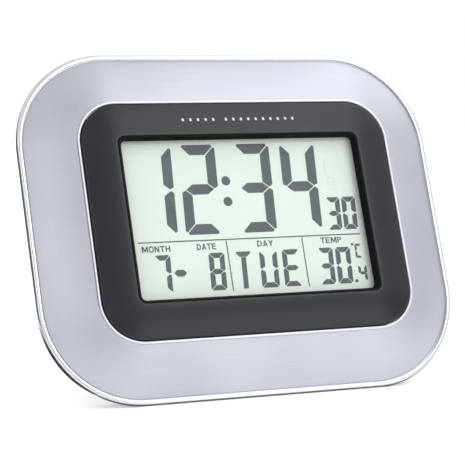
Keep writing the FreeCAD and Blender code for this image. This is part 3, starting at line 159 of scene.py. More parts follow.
def brushedSilver(name, look):
    material = newMaterial(name)
    where = place(material)
    stretch = addNode(material, "ShaderNodeMapping",
                      {"Scale": (1 / (look["streakLength"] * mm), 1 / (look["streakWidth"] * mm),
                                 1 / (look["streakWidth"] * mm))}, {"Vector": where})
    streak = addNode(material, "ShaderNodeTexNoise",
                     {"Scale": 1.0, "Detail": 4.0, "Roughness": 0.6},
                     {"Vector": stretch.outputs[0]})
    cloud = addNode(material, "ShaderNodeTexNoise",
                    {"Scale": 1 / (look["cloud"] * mm), "Detail": 2.0}, {"Vector": where})
    mixture = addNode(material, "ShaderNodeMath",
                      {"operation": "MULTIPLY_ADD", 1: look["streakShare"]},
                      {0: streak.outputs["Fac"], 2: cloud.outputs["Fac"]})
    share = addNode(material, "ShaderNodeMapRange",
                    {"From Min": look["mixed"][0], "From Max": look["mixed"][1]},
                    {"Value": mixture.outputs[0]})
    body = addNode(material, "ShaderNodeMix",
                   {"data_type": "RGBA", 6: linear(look["colour"]), 7: linear(look["shade"])},
                   {0: share.outputs[0]})
    rough = addNode(material, "ShaderNodeMapRange",
                    {"To Min": look["smooth"], "To Max": look["dull"]},
                    {"Value": streak.outputs["Fac"]})
    bump = addNode(material, "ShaderNodeBump",
                   {"Strength": look["bump"], "Distance": look["streakDepth"] * mm},
                   {"Height": streak.outputs["Fac"]})
    shader = addNode(material, "ShaderNodeBsdfPrincipled", {"Metallic": look["metallic"]},
                     {"Base Color": body.outputs[2], "Roughness": rough.outputs[0],
                      "Normal": bump.outputs[0]})
    return finishMaterial(material, shader)


def clearPlastic(name, look):  # clear sheet: polished, faint haze from handling
    material = newMaterial(name)
    haze = addNode(material, "ShaderNodeTexNoise",
                   {"Scale": 1 / (look["haze"] * mm), "Detail": 3.0}, {"Vector": place(material)})
    rough = addNode(material, "ShaderNodeMapRange",
                    {"To Min": look["roughness"], "To Max": look["hazyRoughness"]},
                    {"Value": haze.outputs["Fac"]})
    shader = addNode(material, "ShaderNodeBsdfPrincipled",
                     {"Base Color": linear(look["colour"]), "IOR": look["ior"],
                      "Alpha": look["alpha"]}, {"Roughness": rough.outputs[0]})
    return finishMaterial(material, shader)


def metal(name, look):  # plated metal: satin, faint marks of handling
    material = newMaterial(name)
    marks = addNode(material, "ShaderNodeTexNoise",
                    {"Scale": 1 / (look["marks"] * mm), "Detail": 4.0}, {"Vector": place(material)})
    body = addNode(material, "ShaderNodeMix",
                   {"data_type": "RGBA", 6: linear(look["colour"]), 7: linear(look["shade"])},
                   {0: marks.outputs["Fac"]})
    rough = addNode(material, "ShaderNodeMapRange",
                    {"To Min": look["smooth"], "To Max": look["dull"]},
                    {"Value": marks.outputs["Fac"]})
    shader = addNode(material, "ShaderNodeBsdfPrincipled", {"Metallic": 1.0},
                     {"Base Color": body.outputs[2], "Roughness": rough.outputs[0]})
    return finishMaterial(material, shader)


print("materials")
silverRim = lacqueredSilver("silverLacquer", rimLook)
silverFascia = brushedSilver("brushedSilverLacquer", fasciaLook)
silverBead = lacqueredSilver("beadLacquer", beadLook)

# Anthracite ABS, satin from a finely blasted mould: soft sheen that lightens towards the lamps
anthracite = moulded("anthraciteAbs", {"colour": "#1b1e26", "shade": "#171a22", "edge": "#2a2d35",
                                       "edgeWidth": 0.3, "cloud": 30.0, "grain": 0.35, "bump": 0.15,
                                       "roughness": 0.3, "gloss": 0.36})
# Black ABS, satin: the deep edge round the display, near black partly of its own and partly as
# painted recess shade
blackAbsAndRecessShade = moulded("blackAbsAndRecessShade", {"colour": "#0b0b0c", "shade": "#09090a", "edge": "#161617",
                                "edgeWidth": 0.2, "cloud": 20.0, "grain": 0.3, "bump": 0.1,
                                "roughness": 0.6, "gloss": 0.12})
# Charcoal ABS with a coarser spark texture on the back, which scatters light and hides marks
charcoalAbs = moulded("charcoalAbs", {"colour": "#2c2c2f", "shade": "#262629", "edge": "#48484c",
                                      "edgeWidth": 0.5, "cloud": 40.0, "grain": 0.6, "bump": 0.5,
                                      "roughness": 0.55})
# Moulded rubber keys, matte with a slight bloom
keyRubber = moulded("mouldedRubber", {"colour": "#5a5a5d", "shade": "#525256", "edge": "#6a6a6e",
                                      "edgeWidth": 0.4, "cloud": 6.0, "grain": 0.4, "bump": 0.3,
                                      "roughness": 0.7})
# White ABS of the display's and the aerial's holders, satin
whiteAbs = moulded("whiteAbs", {"colour": "#e4e4df", "shade": "#dcdcd6", "edge": "#f0f0ec",
                                "edgeWidth": 0.3, "cloud": 20.0, "grain": 0.4, "bump": 0.15,
                                "roughness": 0.5})
# Layered silicone strip: mid grey, dull
siliconeStrip = moulded("siliconeStrip", {"colour": "#5f6062", "shade": "#4c4d50",
                                          "edge": "#707174", "edgeWidth": 0.2, "cloud": 1.5,
                                          "grain": 0.3, "bump": 0.3, "roughness": 0.75})
# Green solder mask on glass epoxy, satin
solderMask = moulded("solderMask", {"colour": "#1e5b38", "shade": "#184f2f", "edge": "#a89a62",
                                    "edgeWidth": 0.2, "cloud": 12.0, "grain": 0.5, "bump": 0.2,
                                    "roughness": 0.35})
# Black epoxy of chips and the sensor, dull
blackEpoxy = moulded("blackEpoxy", {"colour": "#1b1b1b", "shade": "#141414", "edge": "#303030",
                                    "edgeWidth": 0.15, "cloud": 4.0, "grain": 0.3, "bump": 0.25,
                                    "roughness": 0.5})
# Sintered ferrite, dark grey and dull
ferrite = moulded("sinteredFerrite", {"colour": "#2b2b2d", "shade": "#222224", "edge": "#3d3d40",
                                      "edgeWidth": 0.3, "cloud": 5.0, "grain": 0.25, "bump": 0.5,
                                      "roughness": 0.65})
# PVC lead insulation, slightly shiny
redPvc = moulded("redPvc", {"colour": "#a02a22", "shade": "#8f241d", "edge": "#b8453c",
                            "edgeWidth": 0.1, "cloud": 4.0, "grain": 0.4, "bump": 0.1,
                            "roughness": 0.4})
# Film behind the display: pale grey green, quite matte
diffusingFilm = moulded("diffusingFilm", {"colour": "#ebf5eb", "shade": "#e7f2e7",
                                          "edge": "#ebf5eb", "edgeWidth": 0.1, "cloud": 30.0,
                                          "grain": 0.3, "bump": 0.05, "roughness": 0.8})
# Darkened crystal: blue grey, flat
darkCrystal = moulded("darkenedCrystal", {"colour": "#1c2f3e", "shade": "#192c3b",
                                          "edge": "#1c2f3e", "edgeWidth": 0.05, "cloud": 10.0,
                                          "grain": 0.5, "bump": 0.0, "roughness": 0.6})
# Crystal at rest: only a shade darker than the film behind it
restingCrystal = moulded("restingCrystal", {"colour": "#e2ebe2", "shade": "#dee7de",
                                            "edge": "#e2ebe2", "edgeWidth": 0.05, "cloud": 10.0,
                                            "grain": 0.5, "bump": 0.0, "roughness": 0.8})
# Pale grey ink printed on the bezel, dull
printInk = moulded("printedInk", {"colour": "#cfcfd1", "shade": "#c4c4c7", "edge": "#cfcfd1",
                                  "edgeWidth": 0.05, "cloud": 2.0, "grain": 0.2, "bump": 0.1,
                                  "roughness": 0.6})
# Cell sleeve: printed foil over the steel can, semi-gloss
cellSleeve = moulded("printedSleeve", {"colour": "#3d4a58", "shade": "#344150", "edge": "#8d949b",
                                       "edgeWidth": 0.4, "cloud": 9.0, "grain": 0.6, "bump": 0.05,
                                       "roughness": 0.28, "metallic": 0.4})
# Clear acrylic over the display: barely seen but for a faint gloss
acrylic = clearPlastic("clearAcrylic", {"colour": "#ffffff", "ior": 1.49, "alpha": 0.03,
                                        "roughness": 0.04, "hazyRoughness": 0.1, "haze": 15.0})
# Display glass under its polariser: a faint green tint and a softer gloss
displayGlass = clearPlastic("displayGlass", {"colour": "#f4faf2", "ior": 1.52, "alpha": 0.015,
                                             "roughness": 0.08, "hazyRoughness": 0.14,
                                             "haze": 20.0})
# Zinc plate: pale grey with a soft shine
zincSteel = metal("zincPlatedSteel", {"colour": "#b9bcc0", "shade": "#9a9da2", "smooth": 0.27,
                                      "dull": 0.45, "marks": 1.5})
# Nickel plate: warmer and brighter
nickelPlate = metal("nickelPlate", {"colour": "#cfcac0", "shade": "#b8b2a6", "smooth": 0.2,
                                    "dull": 0.38, "marks": 2.0})
# Enamelled copper: reddish, shines through its clear enamel
copperWire = metal("enamelledCopper", {"colour": "#c77b4a", "shade": "#a85f34", "smooth": 0.22,
                                       "dull": 0.4, "marks": 0.4})

finishes = {
    "display_lens": acrylic, "front_polariser": displayGlass, "front_glass": displayGlass,
    "rear_glass": diffusingFilm, "display_reflector": diffusingFilm,
    "display_segments": darkCrystal, "display_holder": whiteAbs, "aerial_holder": whiteAbs,
    "rubber_connectors": siliconeStrip,
    "main_board": solderMask, "key_board": solderMask, "receiver_board": solderMask,
    "board_screws": zincSteel, "case_screws": zincSteel, "key_board_screws": zincSteel,
    "controller_chip": blackEpoxy, "filter_capacitor": blackEpoxy, "surface_parts": blackEpoxy,
    "temperature_sensor": blackEpoxy, "key_switches": blackEpoxy, "receiver_chip": blackEpoxy,
    "clock_crystal": nickelPlate, "receiver_crystal": nickelPlate, "board_header": nickelPlate,
    "positive_contact": nickelPlate, "negative_contact": nickelPlate, "bridge_contact": nickelPlate,
    "battery_springs": nickelPlate, "back_cover": charcoalAbs, "stand_leg": charcoalAbs,
    "battery_door": charcoalAbs, "battery_upper": cellSleeve, "battery_lower": cellSleeve,
    "button_set": keyRubber, "button_wave": keyRubber, "button_plus": keyRubber,
    "button_minus": keyRubber, "button_unit": keyRubber, "ferrite_rod": ferrite,
    "aerial_coil": copperWire, "aerial_leads": copperWire, "battery_leads": redPvc,
    "receiver_leads": redPvc, "front_frame": silverRim, "fascia_ring": silverFascia,
    "inner_bezel": anthracite, "window_mask": blackAbsAndRecessShade,
}
for name, material in finishes.items():
    nodes[name].data.materials.clear()
    nodes[name].data.materials.append(material)


def roundedLoop(width, height, radius, arcSteps, sideSteps):  # points round a rectangle, in mm
    points = []
    for quarter in range(4):
        across, up = ((1, -1), (1, 1), (-1, 1), (-1, -1))[quarter]
        centre = Vector((across * (width / 2 - radius), up * (height / 2 - radius)))
        for step in range(arcSteps + 1):
            angle = math.radians(-90 + 90 * (quarter + step / arcSteps))
            points.append(centre + radius * Vector((math.cos(angle), math.sin(angle))))
        nextAcross, nextUp = ((1, 1), (-1, 1), (-1, -1), (1, -1))[quarter]
        nextCentre = Vector((nextAcross * (width / 2 - radius), nextUp * (height / 2 - radius)))
        begin = points[-1]
        finish = nextCentre + (begin - centre)
        points += [begin.lerp(finish, step / sideSteps) for step in range(1, sideSteps)]
    return points


def roundedProfile(corners, steps):  # closed outline of (depth, level) with its corners rounded
    points = []
    for i, (depth, level, radius) in enumerate(corners):
        here = Vector((depth, level))
        if radius <= 0:
            points.append(here)
            continue
        before = Vector(corners[i - 1][:2])
        after = Vector(corners[(i + 1) % len(corners)][:2])
        into, out = (before - here).normalized(), (after - here).normalized()
        half = into.angle(out) / 2
        centre = here + (into + out).normalized() * (radius / math.sin(half))
        first = here + into * (radius / math.tan(half)) - centre
        last = here + out * (radius / math.tan(half)) - centre
        turn = first.angle_signed(last)
        for step in range(steps + 1):
            points.append(centre + Matrix.Rotation(-turn * step / steps, 2) @ first)
    return points


# Closed profile carried round the case; a zone is a stretch of it with a finish of its own
def sweptRing(name, node, material, corners, sizeAt, detail, zones=()):
    bm = bmesh.new()
    loops = []
    profile = roundedProfile(corners, detail["profileSteps"])
    for depth, level in profile:
        outline = roundedLoop(*sizeAt(depth), detail["arcSteps"], detail["sideSteps"])
        loops.append([bm.verts.new((x * mm, y * mm, level * mm)) for x, y in outline])
    for inner, outer in zip(loops, loops[1:] + loops[:1]):
        for i in range(len(inner)):
            j = (i + 1) % len(inner)
            bm.faces.new((inner[i], inner[j], outer[j], outer[i]))
    bmesh.ops.recalc_face_normals(bm, faces=bm.faces)
    mesh = bpy.data.meshes.new(name)
    bm.to_mesh(mesh)
    bm.free()
    for face in mesh.polygons:
        face.use_smooth = True
    mesh.set_sharp_from_angle(angle=math.radians(detail["sharpAngle"]))
    mesh.transform(faceMatrix)
    mesh.materials.append(material)
    for number, zone in enumerate(zones, 1):
        mesh.materials.append(zone["material"])
        for face in mesh.polygons:
            depth, level = profile[face.index // len(loops[0])]
            if zone["from"] <= depth <= zone["to"] and zone["above"] <= level <= zone["below"]:
                face.material_index = number
    ring = bpy.data.objects.new(name, mesh)
    bpy.context.scene.collection.objects.link(ring)
    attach(ring, "root")
    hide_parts(node)


ringDetail = {"profileSteps": 6, "arcSteps": 28, "sideSteps": 6, "sharpAngle": 40}

# Front frame: round silver rim, groove, carrier under the fascia and collar round the bezel
print("front frame")
frameSize = {"width": 230.0, "height": 182.0, "radius": 51.0}
frameCorners = [  # depth from the outline, level, radius
    (1.3, -13.0, 0.15), (1.3, -12.4, 0.0), (0.0, -12.4, 1.45), (0.0, -9.2, 1.5),
    (2.75, -9.2, 0.5), (2.75, -10.4, 0.0), (3.1, -10.4, 0.0), (3.1, -11.5, 0.0),
    (27.45, -1.9, 0.2), (29.7, -1.9, 0.1), (29.7, -4.0, 0.0), (31.95, -4.0, 0.0),
    (31.95, -8.0, 0.2), (27.45, -8.0, 0.0), (27.35, -4.2, 0.0), (2.7, -13.0, 0.15),
]


def frameAt(depth):
    return (frameSize["width"] - 2 * depth, frameSize["height"] - 2 * depth,
            frameSize["radius"] - depth)


sweptRing("silverFrame", "front_frame", silverRim, frameCorners, frameAt, ringDetail)

# Fascia: crowned ring from the groove up to the bezel, with a rounded inner lip
print("fascia")
fascia = {"outer": (223.7, 175.7, 47.85), "inner": (170.6, 122.0, 21.0), "reach": 26.45,
          "low": -10.0, "middle": -3.8, "high": 0.2, "thickness": 1.3, "lip": 0.4, "steps": 24,
          "foot": -11.3, "footRadius": 0.1, "edgeRadius": 0.3}
bead = {"width": 1.7, "rise": 0.35, "radius": 0.75, "startRadius": 0.15, "clear": 0.3,
        "shoulder": (0.25, 0.05, 0.35),  # inward from its start, below its top, radius
        "slack": 0.02}


def between(first, last, share):
    return tuple(a + (b - a) * share for a, b in zip(first, last))


def fasciaAt(depth):
    return between(fascia["outer"], fascia["inner"], depth / fascia["reach"])


def crown(share):  # level of the fascia's top, a parabola through its three levels
    bend = 2 * (fascia["low"] + fascia["high"] - 2 * fascia["middle"])
    rise = fascia["high"] - fascia["low"] - bend
    return fascia["low"] + rise * share + bend * share ** 2


shares = [i / fascia["steps"] for i in range(1, fascia["steps"])]
beadStart = fascia["reach"] - bead["width"]
beadTop = fascia["high"] + bead["rise"]
inward, below, shoulderRadius = bead["shoulder"]
fasciaCorners = [(0.0, fascia["foot"], fascia["footRadius"]),
                 (0.0, fascia["low"], fascia["edgeRadius"])]
fasciaCorners += [(fascia["reach"] * s, crown(s), 0.0) for s in shares
                  if fascia["reach"] * s < beadStart - bead["clear"]]
fasciaCorners += [(beadStart, crown(beadStart / fascia["reach"]), bead["startRadius"]),
                  (beadStart + inward, beadTop - below, shoulderRadius),
                  (fascia["reach"], beadTop, bead["radius"]),
                  (fascia["reach"], fascia["high"] - fascia["thickness"] - fascia["lip"], 0.0)]
fasciaCorners += [(fascia["reach"] * s, crown(s) - fascia["thickness"], 0.0)
                  for s in reversed(shares)]
beadZone = {"material": silverBead, "from": beadStart - bead["slack"], "to": 27.0,
            "above": -1.0, "below": 2.0}
sweptRing("silverFascia", "fascia_ring", silverFascia, fasciaCorners, fasciaAt, ringDetail,
          [beadZone])

# Bezel: dark ring that rises from its rounded edge to the window
print("bezel")
bezel = {"outer": (170.0, 121.4, 20.7), "inner": (134.0, 86.0, 4.0), "reach": 18.0,
         "edgeRadius": 1.0, "windowRadius": 0.35, "windowFoot": 1.8,
         "wall": 2.2, "under": -1.6, "foot": -4.0, "footRadius": 0.1}
# Levels of its top, which is steeper outside and level at the window
bezelRise = {"edge": 0.6, "window": 4.0, "bend": 1.6, "steps": 14}
bezelHeight = bezelRise["window"] - bezelRise["edge"]
bezelShares = [i / bezelRise["steps"] for i in range(1, bezelRise["steps"])]
bezelCorners = [(0.0, bezel["foot"], bezel["footRadius"]),
                (0.0, bezelRise["edge"], bezel["edgeRadius"])]
bezelCorners += [(bezel["reach"] * s,
                  bezelRise["window"] - bezelHeight * (1 - s) ** bezelRise["bend"], 0.0)
                 for s in bezelShares]
bezelCorners += [(bezel["reach"], bezelRise["window"], bezel["windowRadius"]),
                 (bezel["reach"], bezel["windowFoot"], 0.0), (bezel["wall"], bezel["under"], 0.0),
                 (bezel["wall"], bezel["foot"], bezel["footRadius"])]


def bezelAt(depth):
    return between(bezel["outer"], bezel["inner"], depth / bezel["reach"])


sweptRing("darkBezel", "inner_bezel", anthracite, bezelCorners, bezelAt, ringDetail)

# Mask: collar in the window, near black with painted recess shade, whose walls slope down to a thin
# edge over the display
print("mask")
mask = {"collar": (133.8, 85.8, 3.9), "rim": 0.7, "view": (128.9, 81.9, 2.4), "slope": 2.45,
        "top": 3.9, "topRadius": 0.15, "edge": (1.0, 0.8), "edgeRadius": 0.05,
        "inside": 1.6, "insideTop": 0.3, "flange": -5.1, "flangeTop": 0.5, "foot": -0.6}
maskCorners = [(0.0, mask["top"], mask["topRadius"]), (mask["rim"], mask["top"], mask["topRadius"])]
maskCorners += [(mask["slope"], level, mask["edgeRadius"]) for level in mask["edge"]]
maskCorners += [(mask["inside"], mask["insideTop"], 0.0), (mask["inside"], mask["foot"], 0.0),
                (mask["flange"], mask["foot"], 0.0), (mask["flange"], mask["flangeTop"], 0.0),
                (0.0, mask["flangeTop"], 0.0)]


def maskAt(depth):
    width, height, radius = mask["collar"]
    if depth <= mask["rim"]:
        return width - 2 * depth, height - 2 * depth, radius - depth
    rim = (width - 2 * mask["rim"], height - 2 * mask["rim"], radius - mask["rim"])
    return between(rim, mask["view"], (depth - mask["rim"]) / (mask["slope"] - mask["rim"]))


# The mask's near-black finish carries painted shade of the recess round the display
sweptRing("maskWithRecessShade", "window_mask", blackAbsAndRecessShade, maskCorners, maskAt, ringDetail)


def addPiece(name, mesh, material, matrix):
    mesh.transform(matrix)
    mesh.materials.clear()
    mesh.materials.append(material)
    piece = bpy.data.objects.new(name, mesh)
    bpy.context.scene.collection.objects.link(piece)
    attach(piece, "root")
    return piece


def prism(name, outlines, front, back):  # flat forms between two levels, in mm
    bm = bmesh.new()
    for outline in outlines:
        top = [bm.verts.new((x * mm, y * mm, front * mm)) for x, y in outline]
        low = [bm.verts.new((x * mm, y * mm, back * mm)) for x, y in outline]
        bm.faces.new(top)
        bm.faces.new(low)
        for i in range(len(top)):
            j = (i + 1) % len(top)
            bm.faces.new((top[i], top[j], low[j], low[i]))
    bmesh.ops.recalc_face_normals(bm, faces=bm.faces)
    mesh = bpy.data.meshes.new(name)
    bm.to_mesh(mesh)
    bm.free()
    return mesh


# Front of the display cell: film and glass are bonded, so light meets one sheet
print("display cell")
slabDetail = {"arcSteps": 4, "sideSteps": 2}
cell = {"width": 138.0, "height": 91.3, "corner": 0.3, "front": -1.62, "back": -2.49}
cellOutline = roundedLoop(cell["width"], cell["height"], cell["corner"], **slabDetail)
frontCell = addPiece("frontCell", prism("frontCell", [cellOutline], cell["front"], cell["back"]),
                     displayGlass, faceMatrix)
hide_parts("front_polariser", "front_glass")

# Words of the display's lower row: plain bold capitals in the crystal layer, drawn on a unit square
print("display words")
captions = {
    "words": (("MONTH", -60.7, -45.5, -16.6), ("DATE", -31.1, -20.5, -16.4),
              ("DAY", 2.3, 11.2, -16.0), ("TEMP", 38.4, 50.6, -15.8)),  # left, right, foot
    "shift": (1.0, 0.6), "height": 3.15, "level": -2.51, "thickness": 0.08, "gap": 0.2,
    "wide": {"M": 1.35},  # share of the other letters' width
}


def bowl(left, low, right, high, flat=0.3, steps=10):  # half of a rounded figure, bulging right
    middle, half = (low + high) / 2, (high - low) / 2
    points = [(left, low)]
    for step in range(steps + 1):
        angle = math.radians(-90 + 180 * step / steps)
        points.append((left + (right - left) * (flat + (1 - flat) * math.cos(angle)),
                       middle + half * math.sin(angle)))
    return points + [(left, high)]


def ringPoints(width, height, inset, bend=0.8, steps=24):  # squarish ring about the square's middle
    points = []
    for step in range(steps):
        angle = 2 * math.pi * step / steps
        across, up = math.cos(angle), math.sin(angle)
        points.append((0.5 + (width / 2 - inset) * math.copysign(abs(across) ** bend, across),
                       0.5 + (height / 2 - inset) * math.copysign(abs(up) ** bend, up)))
    return points


letters = {  # closed outlines; one inside another is a hole
    "A": [[(0, 0), (0.36, 1), (0.64, 1), (1, 0), (0.76, 0), (0.69, 0.2), (0.31, 0.2), (0.24, 0)],
          [(0.375, 0.4), (0.625, 0.4), (0.5, 0.78)]],
    "D": [bowl(0, 0, 1, 1), bowl(0.24, 0.18, 0.75, 0.82)],
    "E": [[(0, 0), (0, 1), (0.92, 1), (0.92, 0.82), (0.24, 0.82), (0.24, 0.6), (0.84, 0.6),
           (0.84, 0.42), (0.24, 0.42), (0.24, 0.18), (0.96, 0.18), (0.96, 0)]],
    "H": [[(0, 0), (0, 1), (0.24, 1), (0.24, 0.6), (0.76, 0.6), (0.76, 1), (1, 1), (1, 0),
           (0.76, 0), (0.76, 0.42), (0.24, 0.42), (0.24, 0)]],
    "M": [[(0, 0), (0, 1), (0.27, 1), (0.5, 0.4), (0.73, 1), (1, 1), (1, 0), (0.8, 0), (0.8, 0.68),
           (0.57, 0.1), (0.43, 0.1), (0.2, 0.68), (0.2, 0)]],
    "N": [[(0, 0), (0, 1), (0.26, 1), (0.76, 0.36), (0.76, 1), (1, 1), (1, 0), (0.74, 0),
           (0.24, 0.64), (0.24, 0)]],
    "O": [ringPoints(1.0, 1.04, 0.0), ringPoints(1.0, 1.04, 0.2)],
    "P": [bowl(0, 0.38, 0.96, 1)[1:-1] + [(0, 1), (0, 0), (0.24, 0), (0.24, 0.38)],
          bowl(0.24, 0.55, 0.72, 0.84)],
    "T": [[(0, 1), (1, 1), (1, 0.82), (0.62, 0.82), (0.62, 0), (0.38, 0), (0.38, 0.82), (0, 0.82)]],
    "Y": [[(0, 1), (0.27, 1), (0.5, 0.62), (0.73, 1), (1, 1), (0.62, 0.4), (0.62, 0), (0.38, 0),
           (0.38, 0.4)]],
}
for word, left, right, low in captions["words"]:
    curve = bpy.data.curves.new("word" + word, "CURVE")
    curve.dimensions = "2D"
    curve.fill_mode = "BOTH"
    curve.extrude = captions["thickness"] / 2 * mm
    shares = [captions["wide"].get(letter, 1.0) for letter in word]
    letterWidth = (right - left) / (sum(shares) + captions["gap"] * (len(word) - 1))
    pen = left + captions["shift"][0]
    for letter, share in zip(word, shares):
        for outline in letters[letter]:
            spline = curve.splines.new("POLY")
            spline.points.add(len(outline) - 1)
            spline.use_cyclic_u = True
            for point, (x, y) in zip(spline.points, outline):
                up = low + captions["shift"][1] + captions["height"] * y
                point.co = ((pen + letterWidth * share * x) * mm, up * mm, 0, 1)
        pen += letterWidth * (share + captions["gap"])
    holder = bpy.data.objects.new("holder" + word, curve)
    bpy.context.scene.collection.objects.link(holder)
    bpy.context.view_layer.update()
    shaped = holder.evaluated_get(bpy.context.evaluated_depsgraph_get())
    mesh = bpy.data.meshes.new_from_object(shaped)
    bpy.data.objects.remove(holder)
    mesh.transform(Matrix.Translation((0, 0, captions["level"] * mm)))
    addPiece("word_" + word.lower(), mesh, darkCrystal, faceMatrix)

# Elements at rest, faint in the upper right corner: two arcs, a bracket and a small frame
print("resting elements")
resting = {"front": -2.58, "back": -2.61,
           "centre": (52.4, 33.6), "radii": ((2.6, 3.3), (4.6, 5.3)), "sweep": (-15, 95),
           "steps": 12,
           "bars": ((48.7, 26.2, 1.1, 7.4), (50.2, 29.6, 2.2, 0.9), (48.9, 18.2, 0.7, 3.6),
                    (52.9, 18.2, 0.7, 3.6), (50.9, 20.0, 4.7, 0.7), (50.9, 16.4, 4.7, 0.7))}
begin, end = resting["sweep"]
turns = [math.radians(begin + (end - begin) * i / resting["steps"])
         for i in range(resting["steps"] + 1)]
outlines = []
for inner, outer in resting["radii"]:
    path = [(outer, t) for t in turns] + [(inner, t) for t in reversed(turns)]
    outlines.append([(resting["centre"][0] + radius * math.cos(t),
                      resting["centre"][1] + radius * math.sin(t)) for radius, t in path])
for x, y, width, height in resting["bars"]:
    outlines.append([(x - width / 2, y - height / 2), (x + width / 2, y - height / 2),
                     (x + width / 2, y + height / 2), (x - width / 2, y + height / 2)])
addPiece("restingElements",
         prism("restingElements", outlines, resting["front"], resting["back"]),
         restingCrystal, faceMatrix)

# Row of small plain marks printed on the bezel above the window
print("bezel marks")
marks = {"count": 15, "gapAfter": 5, "first": -30.0, "pitch": 4.2, "wideGap": 2.9, "y": 51.2,
         "width": 1.25, "height": 1.65, "corner": 0.35, "thickness": 0.03, "sunk": 0.02}
markOutline = roundedLoop(marks["width"], marks["height"], marks["corner"], **slabDetail)
bezelWidth = (bezel["outer"][1] - bezel["inner"][1]) / 2
markShare = (bezel["outer"][1] / 2 - marks["y"]) / bezelWidth
markDrop = bezelHeight * (1 - markShare) ** bezelRise["bend"]
slopeUp = -bezelRise["bend"] * markDrop / (1 - markShare) / bezelWidth
for i in range(marks["count"]):
    x = marks["first"] + i * marks["pitch"] + (marks["wideGap"] if i >= marks["gapAfter"] else 0.0)
    mesh = prism(f"mark_{i + 1}", [markOutline], marks["thickness"], -marks["sunk"])
    spot = (Matrix.Translation(Vector((x, marks["y"], bezelRise["window"] - markDrop)) * mm)
            @ Matrix.Rotation(math.atan(slopeUp), 4, "X"))
    addPiece(f"mark_{i + 1}", mesh, printInk, faceMatrix @ spot)


def seenDirectly(material):  # 1 where the camera, a reflection or a clear sheet shows it, else 0
    ray = addNode(material, "ShaderNodeLightPath")
    shown = addNode(material, "ShaderNodeMath", {"operation": "ADD", "use_clamp": True},
                    {0: ray.outputs["Is Camera Ray"], 1: ray.outputs["Is Glossy Ray"]})
    return addNode(material, "ShaderNodeMath", {"operation": "ADD", "use_clamp": True},
                   {0: shown.outputs[0], 1: ray.outputs["Is Transmission Ray"]}).outputs[0]


# Table: pale, with a glow only for the eye, so it looks white and keeps the clock's shadow
print("stage")
table = {"size": 6.0, "colour": "#f4f4f4", "roughness": 0.9, "glow": 0.5}
tableMesh = bpy.data.meshes.new("table")
half = table["size"] / 2
tableMesh.from_pydata([(-half, -half, 0), (half, -half, 0), (half, half, 0), (-half, half, 0)], [],
                      [(0, 1, 2, 3)])
tableTop = bpy.data.objects.new("table", tableMesh)
bpy.context.scene.collection.objects.link(tableTop)
tablePaint = newMaterial("tablePaint")
glow = addNode(tablePaint, "ShaderNodeMath", {"operation": "MULTIPLY", 1: table["glow"]},
               {0: seenDirectly(tablePaint)})
paint = addNode(tablePaint, "ShaderNodeBsdfPrincipled",
                {"Base Color": linear(table["colour"]), "Roughness": table["roughness"],
                 "Emission Color": (1, 1, 1, 1)}, {"Emission Strength": glow.outputs[0]})
finishMaterial(tablePaint, paint)
tableMesh.materials.append(tablePaint)

# Room: white to the eye and in reflections, softer as a light
room = {"light": 0.94, "seen": 1.0}
world = bpy.data.worlds.new("room")
bpy.context.scene.world = world
world.use_nodes = True
world.node_tree.nodes.clear()
strength = addNode(world, "ShaderNodeMapRange", {"To Min": room["light"], "To Max": room["seen"]},
                   {"Value": seenDirectly(world)})
air = addNode(world, "ShaderNodeBackground", {"Color": (1, 1, 1, 1)},
              {"Strength": strength.outputs[0]})
addNode(world, "ShaderNodeOutputWorld", links={"Surface": air.outputs[0]})

# Lamps: softboxes, all but sideSoftbox on the right: overhead in front, overhead, beside, in front,
# and low in front; place and size in metres
lamps = {
    "topSoftbox": {"at": (0.56, -0.62, 1.15), "size": (0.6, 0.58), "watts": 2.0},
    "backSoftbox": {"at": (0.7, 0.0, 1.3), "size": (0.5, 0.44), "watts": 1.3},
    "rightSoftbox": {"at": (1.06, 0.15, 0.92), "size": (0.5, 0.44), "watts": 0.8},
    "frontSoftbox": {"at": (0.55, -1.0, 0.81), "size": (0.5, 0.44), "watts": 1.95},
    "sideSoftbox": {"at": (-0.68, -0.94, 0.79), "size": (0.5, 0.44), "watts": 1.0},
    "lowSoftbox": {"at": (0.55, -1.23, 0.14), "size": (0.5, 0.24), "watts": 0.7},
}
target = Vector((0.0, 0.0, 0.09))
for name, lamp in lamps.items():
    light = bpy.data.lights.new(name, "AREA")
    light.shape = "RECTANGLE"
    light.size, light.size_y = lamp["size"]
    light.energy = lamp["watts"]
    holder = bpy.data.objects.new(name, light)
    bpy.context.scene.collection.objects.link(holder)
    holder.location = lamp["at"]
    holder.rotation_mode = "QUATERNION"
    holder.rotation_quaternion = (target - Vector(lamp["at"])).to_track_quat("-Z", "Y")
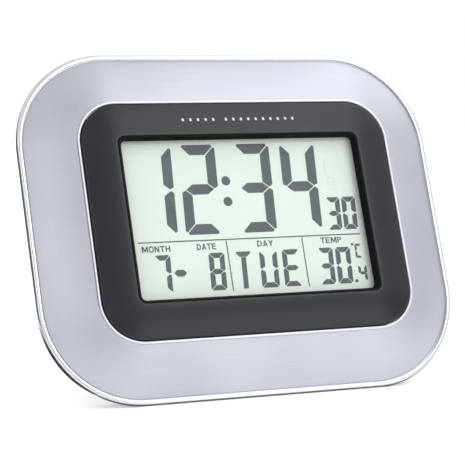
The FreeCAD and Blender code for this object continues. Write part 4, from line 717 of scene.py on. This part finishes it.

# Cards that only reflections show: dark ones on the left and the grey one behind give the rim its
# outline, pale grey ones shade the fascia's corners and the bezel's left, flat ones lie at the foot
# as painted shadow of the clock on the table, dark beside it and grey under its front edge
cardRoughness = 0.9
cards = {
    "leftCard": {"at": (-0.515, 0.035, 0.15), "size": (0.55, 0.3), "colour": "#060606"},
    "backLeftCard": {"at": (-0.2, 0.52, 0.17), "size": (0.95, 0.34), "colour": "#060606"},
    "backCard": {"at": (0.51, 0.43, 0.12), "size": (0.62, 0.26), "colour": "#4c4c4e"},
    "middleLeftCard": {"at": (-0.3, -1.08, 0.84), "size": (0.46, 0.4), "colour": "#a2a2a4"},
    "highCard": {"at": (-0.02, -0.46, 0.97), "size": (0.34, 0.34), "colour": "#a2a2a4"},
    "lowLeftCard": {"at": (-0.13, -0.98, 0.21), "size": (0.42, 0.24), "colour": "#a2a2a4"},
    "lowRightCard": {"at": (0.79, -0.61, 0.18), "size": (0.36, 0.24), "colour": "#a2a2a4"},
    # Painted shadow: dark sheet for the clock's shade on the table beside its foot, seen in
    # reflections
    "footShadowCard": {"at": (-0.156, 0.029, 0.0004), "size": (0.128, 0.142), "colour": "#060606",
                 "flat": True},
    # Painted shade: grey strip for the table's shade under the clock's front edge, seen in
    # reflections
    "frontFootShadowCard": {"at": (0.02, -0.0335, 0.0004), "size": (0.222, 0.013), "colour": "#6c6c6e",
                      "flat": True},
}
for name, card in cards.items():
    x, y = card["size"][0] / 2, card["size"][1] / 2
    mesh = bpy.data.meshes.new(name)
    mesh.from_pydata([(-x, -y, 0), (x, -y, 0), (x, y, 0), (-x, y, 0)], [], [(0, 1, 2, 3)])
    cloth = newMaterial(name + "Cloth")
    finishMaterial(cloth, addNode(cloth, "ShaderNodeBsdfPrincipled",
                                  {"Base Color": linear(card["colour"]),
                                   "Roughness": cardRoughness}))
    mesh.materials.append(cloth)
    holder = bpy.data.objects.new(name, mesh)
    bpy.context.scene.collection.objects.link(holder)
    holder.location = card["at"]
    holder.rotation_mode = "QUATERNION"
    if not card.get("flat"):
        holder.rotation_quaternion = (target - Vector(card["at"])).to_track_quat("Z", "Y")
    holder.visible_camera = False
    holder.visible_shadow = False
    holder.visible_diffuse = False

# Camera: to the clock's left and slightly above, on a long lens
print("camera")
camera = {"turn": 24.20, "height": 5.32,  # degrees; all others in mm
          "lens": 143.4, "sensor": 36.0, "aside": 8.4815, "above": 8.1786, "distance": 940.74}
turn, tilt = math.radians(camera["turn"]), math.radians(camera["height"])
backward = Vector((-math.sin(turn) * math.cos(tilt), -math.cos(turn) * math.cos(tilt),
                   math.sin(tilt)))
sideways = (-backward).cross(Vector((0, 0, 1))).normalized()
upward = sideways.cross(-backward)
cameraData = bpy.data.cameras.new("camera")
cameraData.lens = camera["lens"]
cameraData.sensor_width = camera["sensor"]
cameraObject = bpy.data.objects.new("camera", cameraData)
bpy.context.scene.collection.objects.link(cameraObject)
cameraObject.matrix_world = Matrix.Translation(
    (Vector(clock["faceMiddle"]) - sideways * camera["aside"] - upward * camera["above"]
     + backward * camera["distance"]) * mm) @ Matrix((
         (sideways.x, upward.x, backward.x, 0), (sideways.y, upward.y, backward.y, 0),
         (sideways.z, upward.z, backward.z, 0), (0, 0, 0, 1)))
bpy.context.scene.camera = cameraObject
bpy.context.scene.view_settings.view_transform = "Standard"
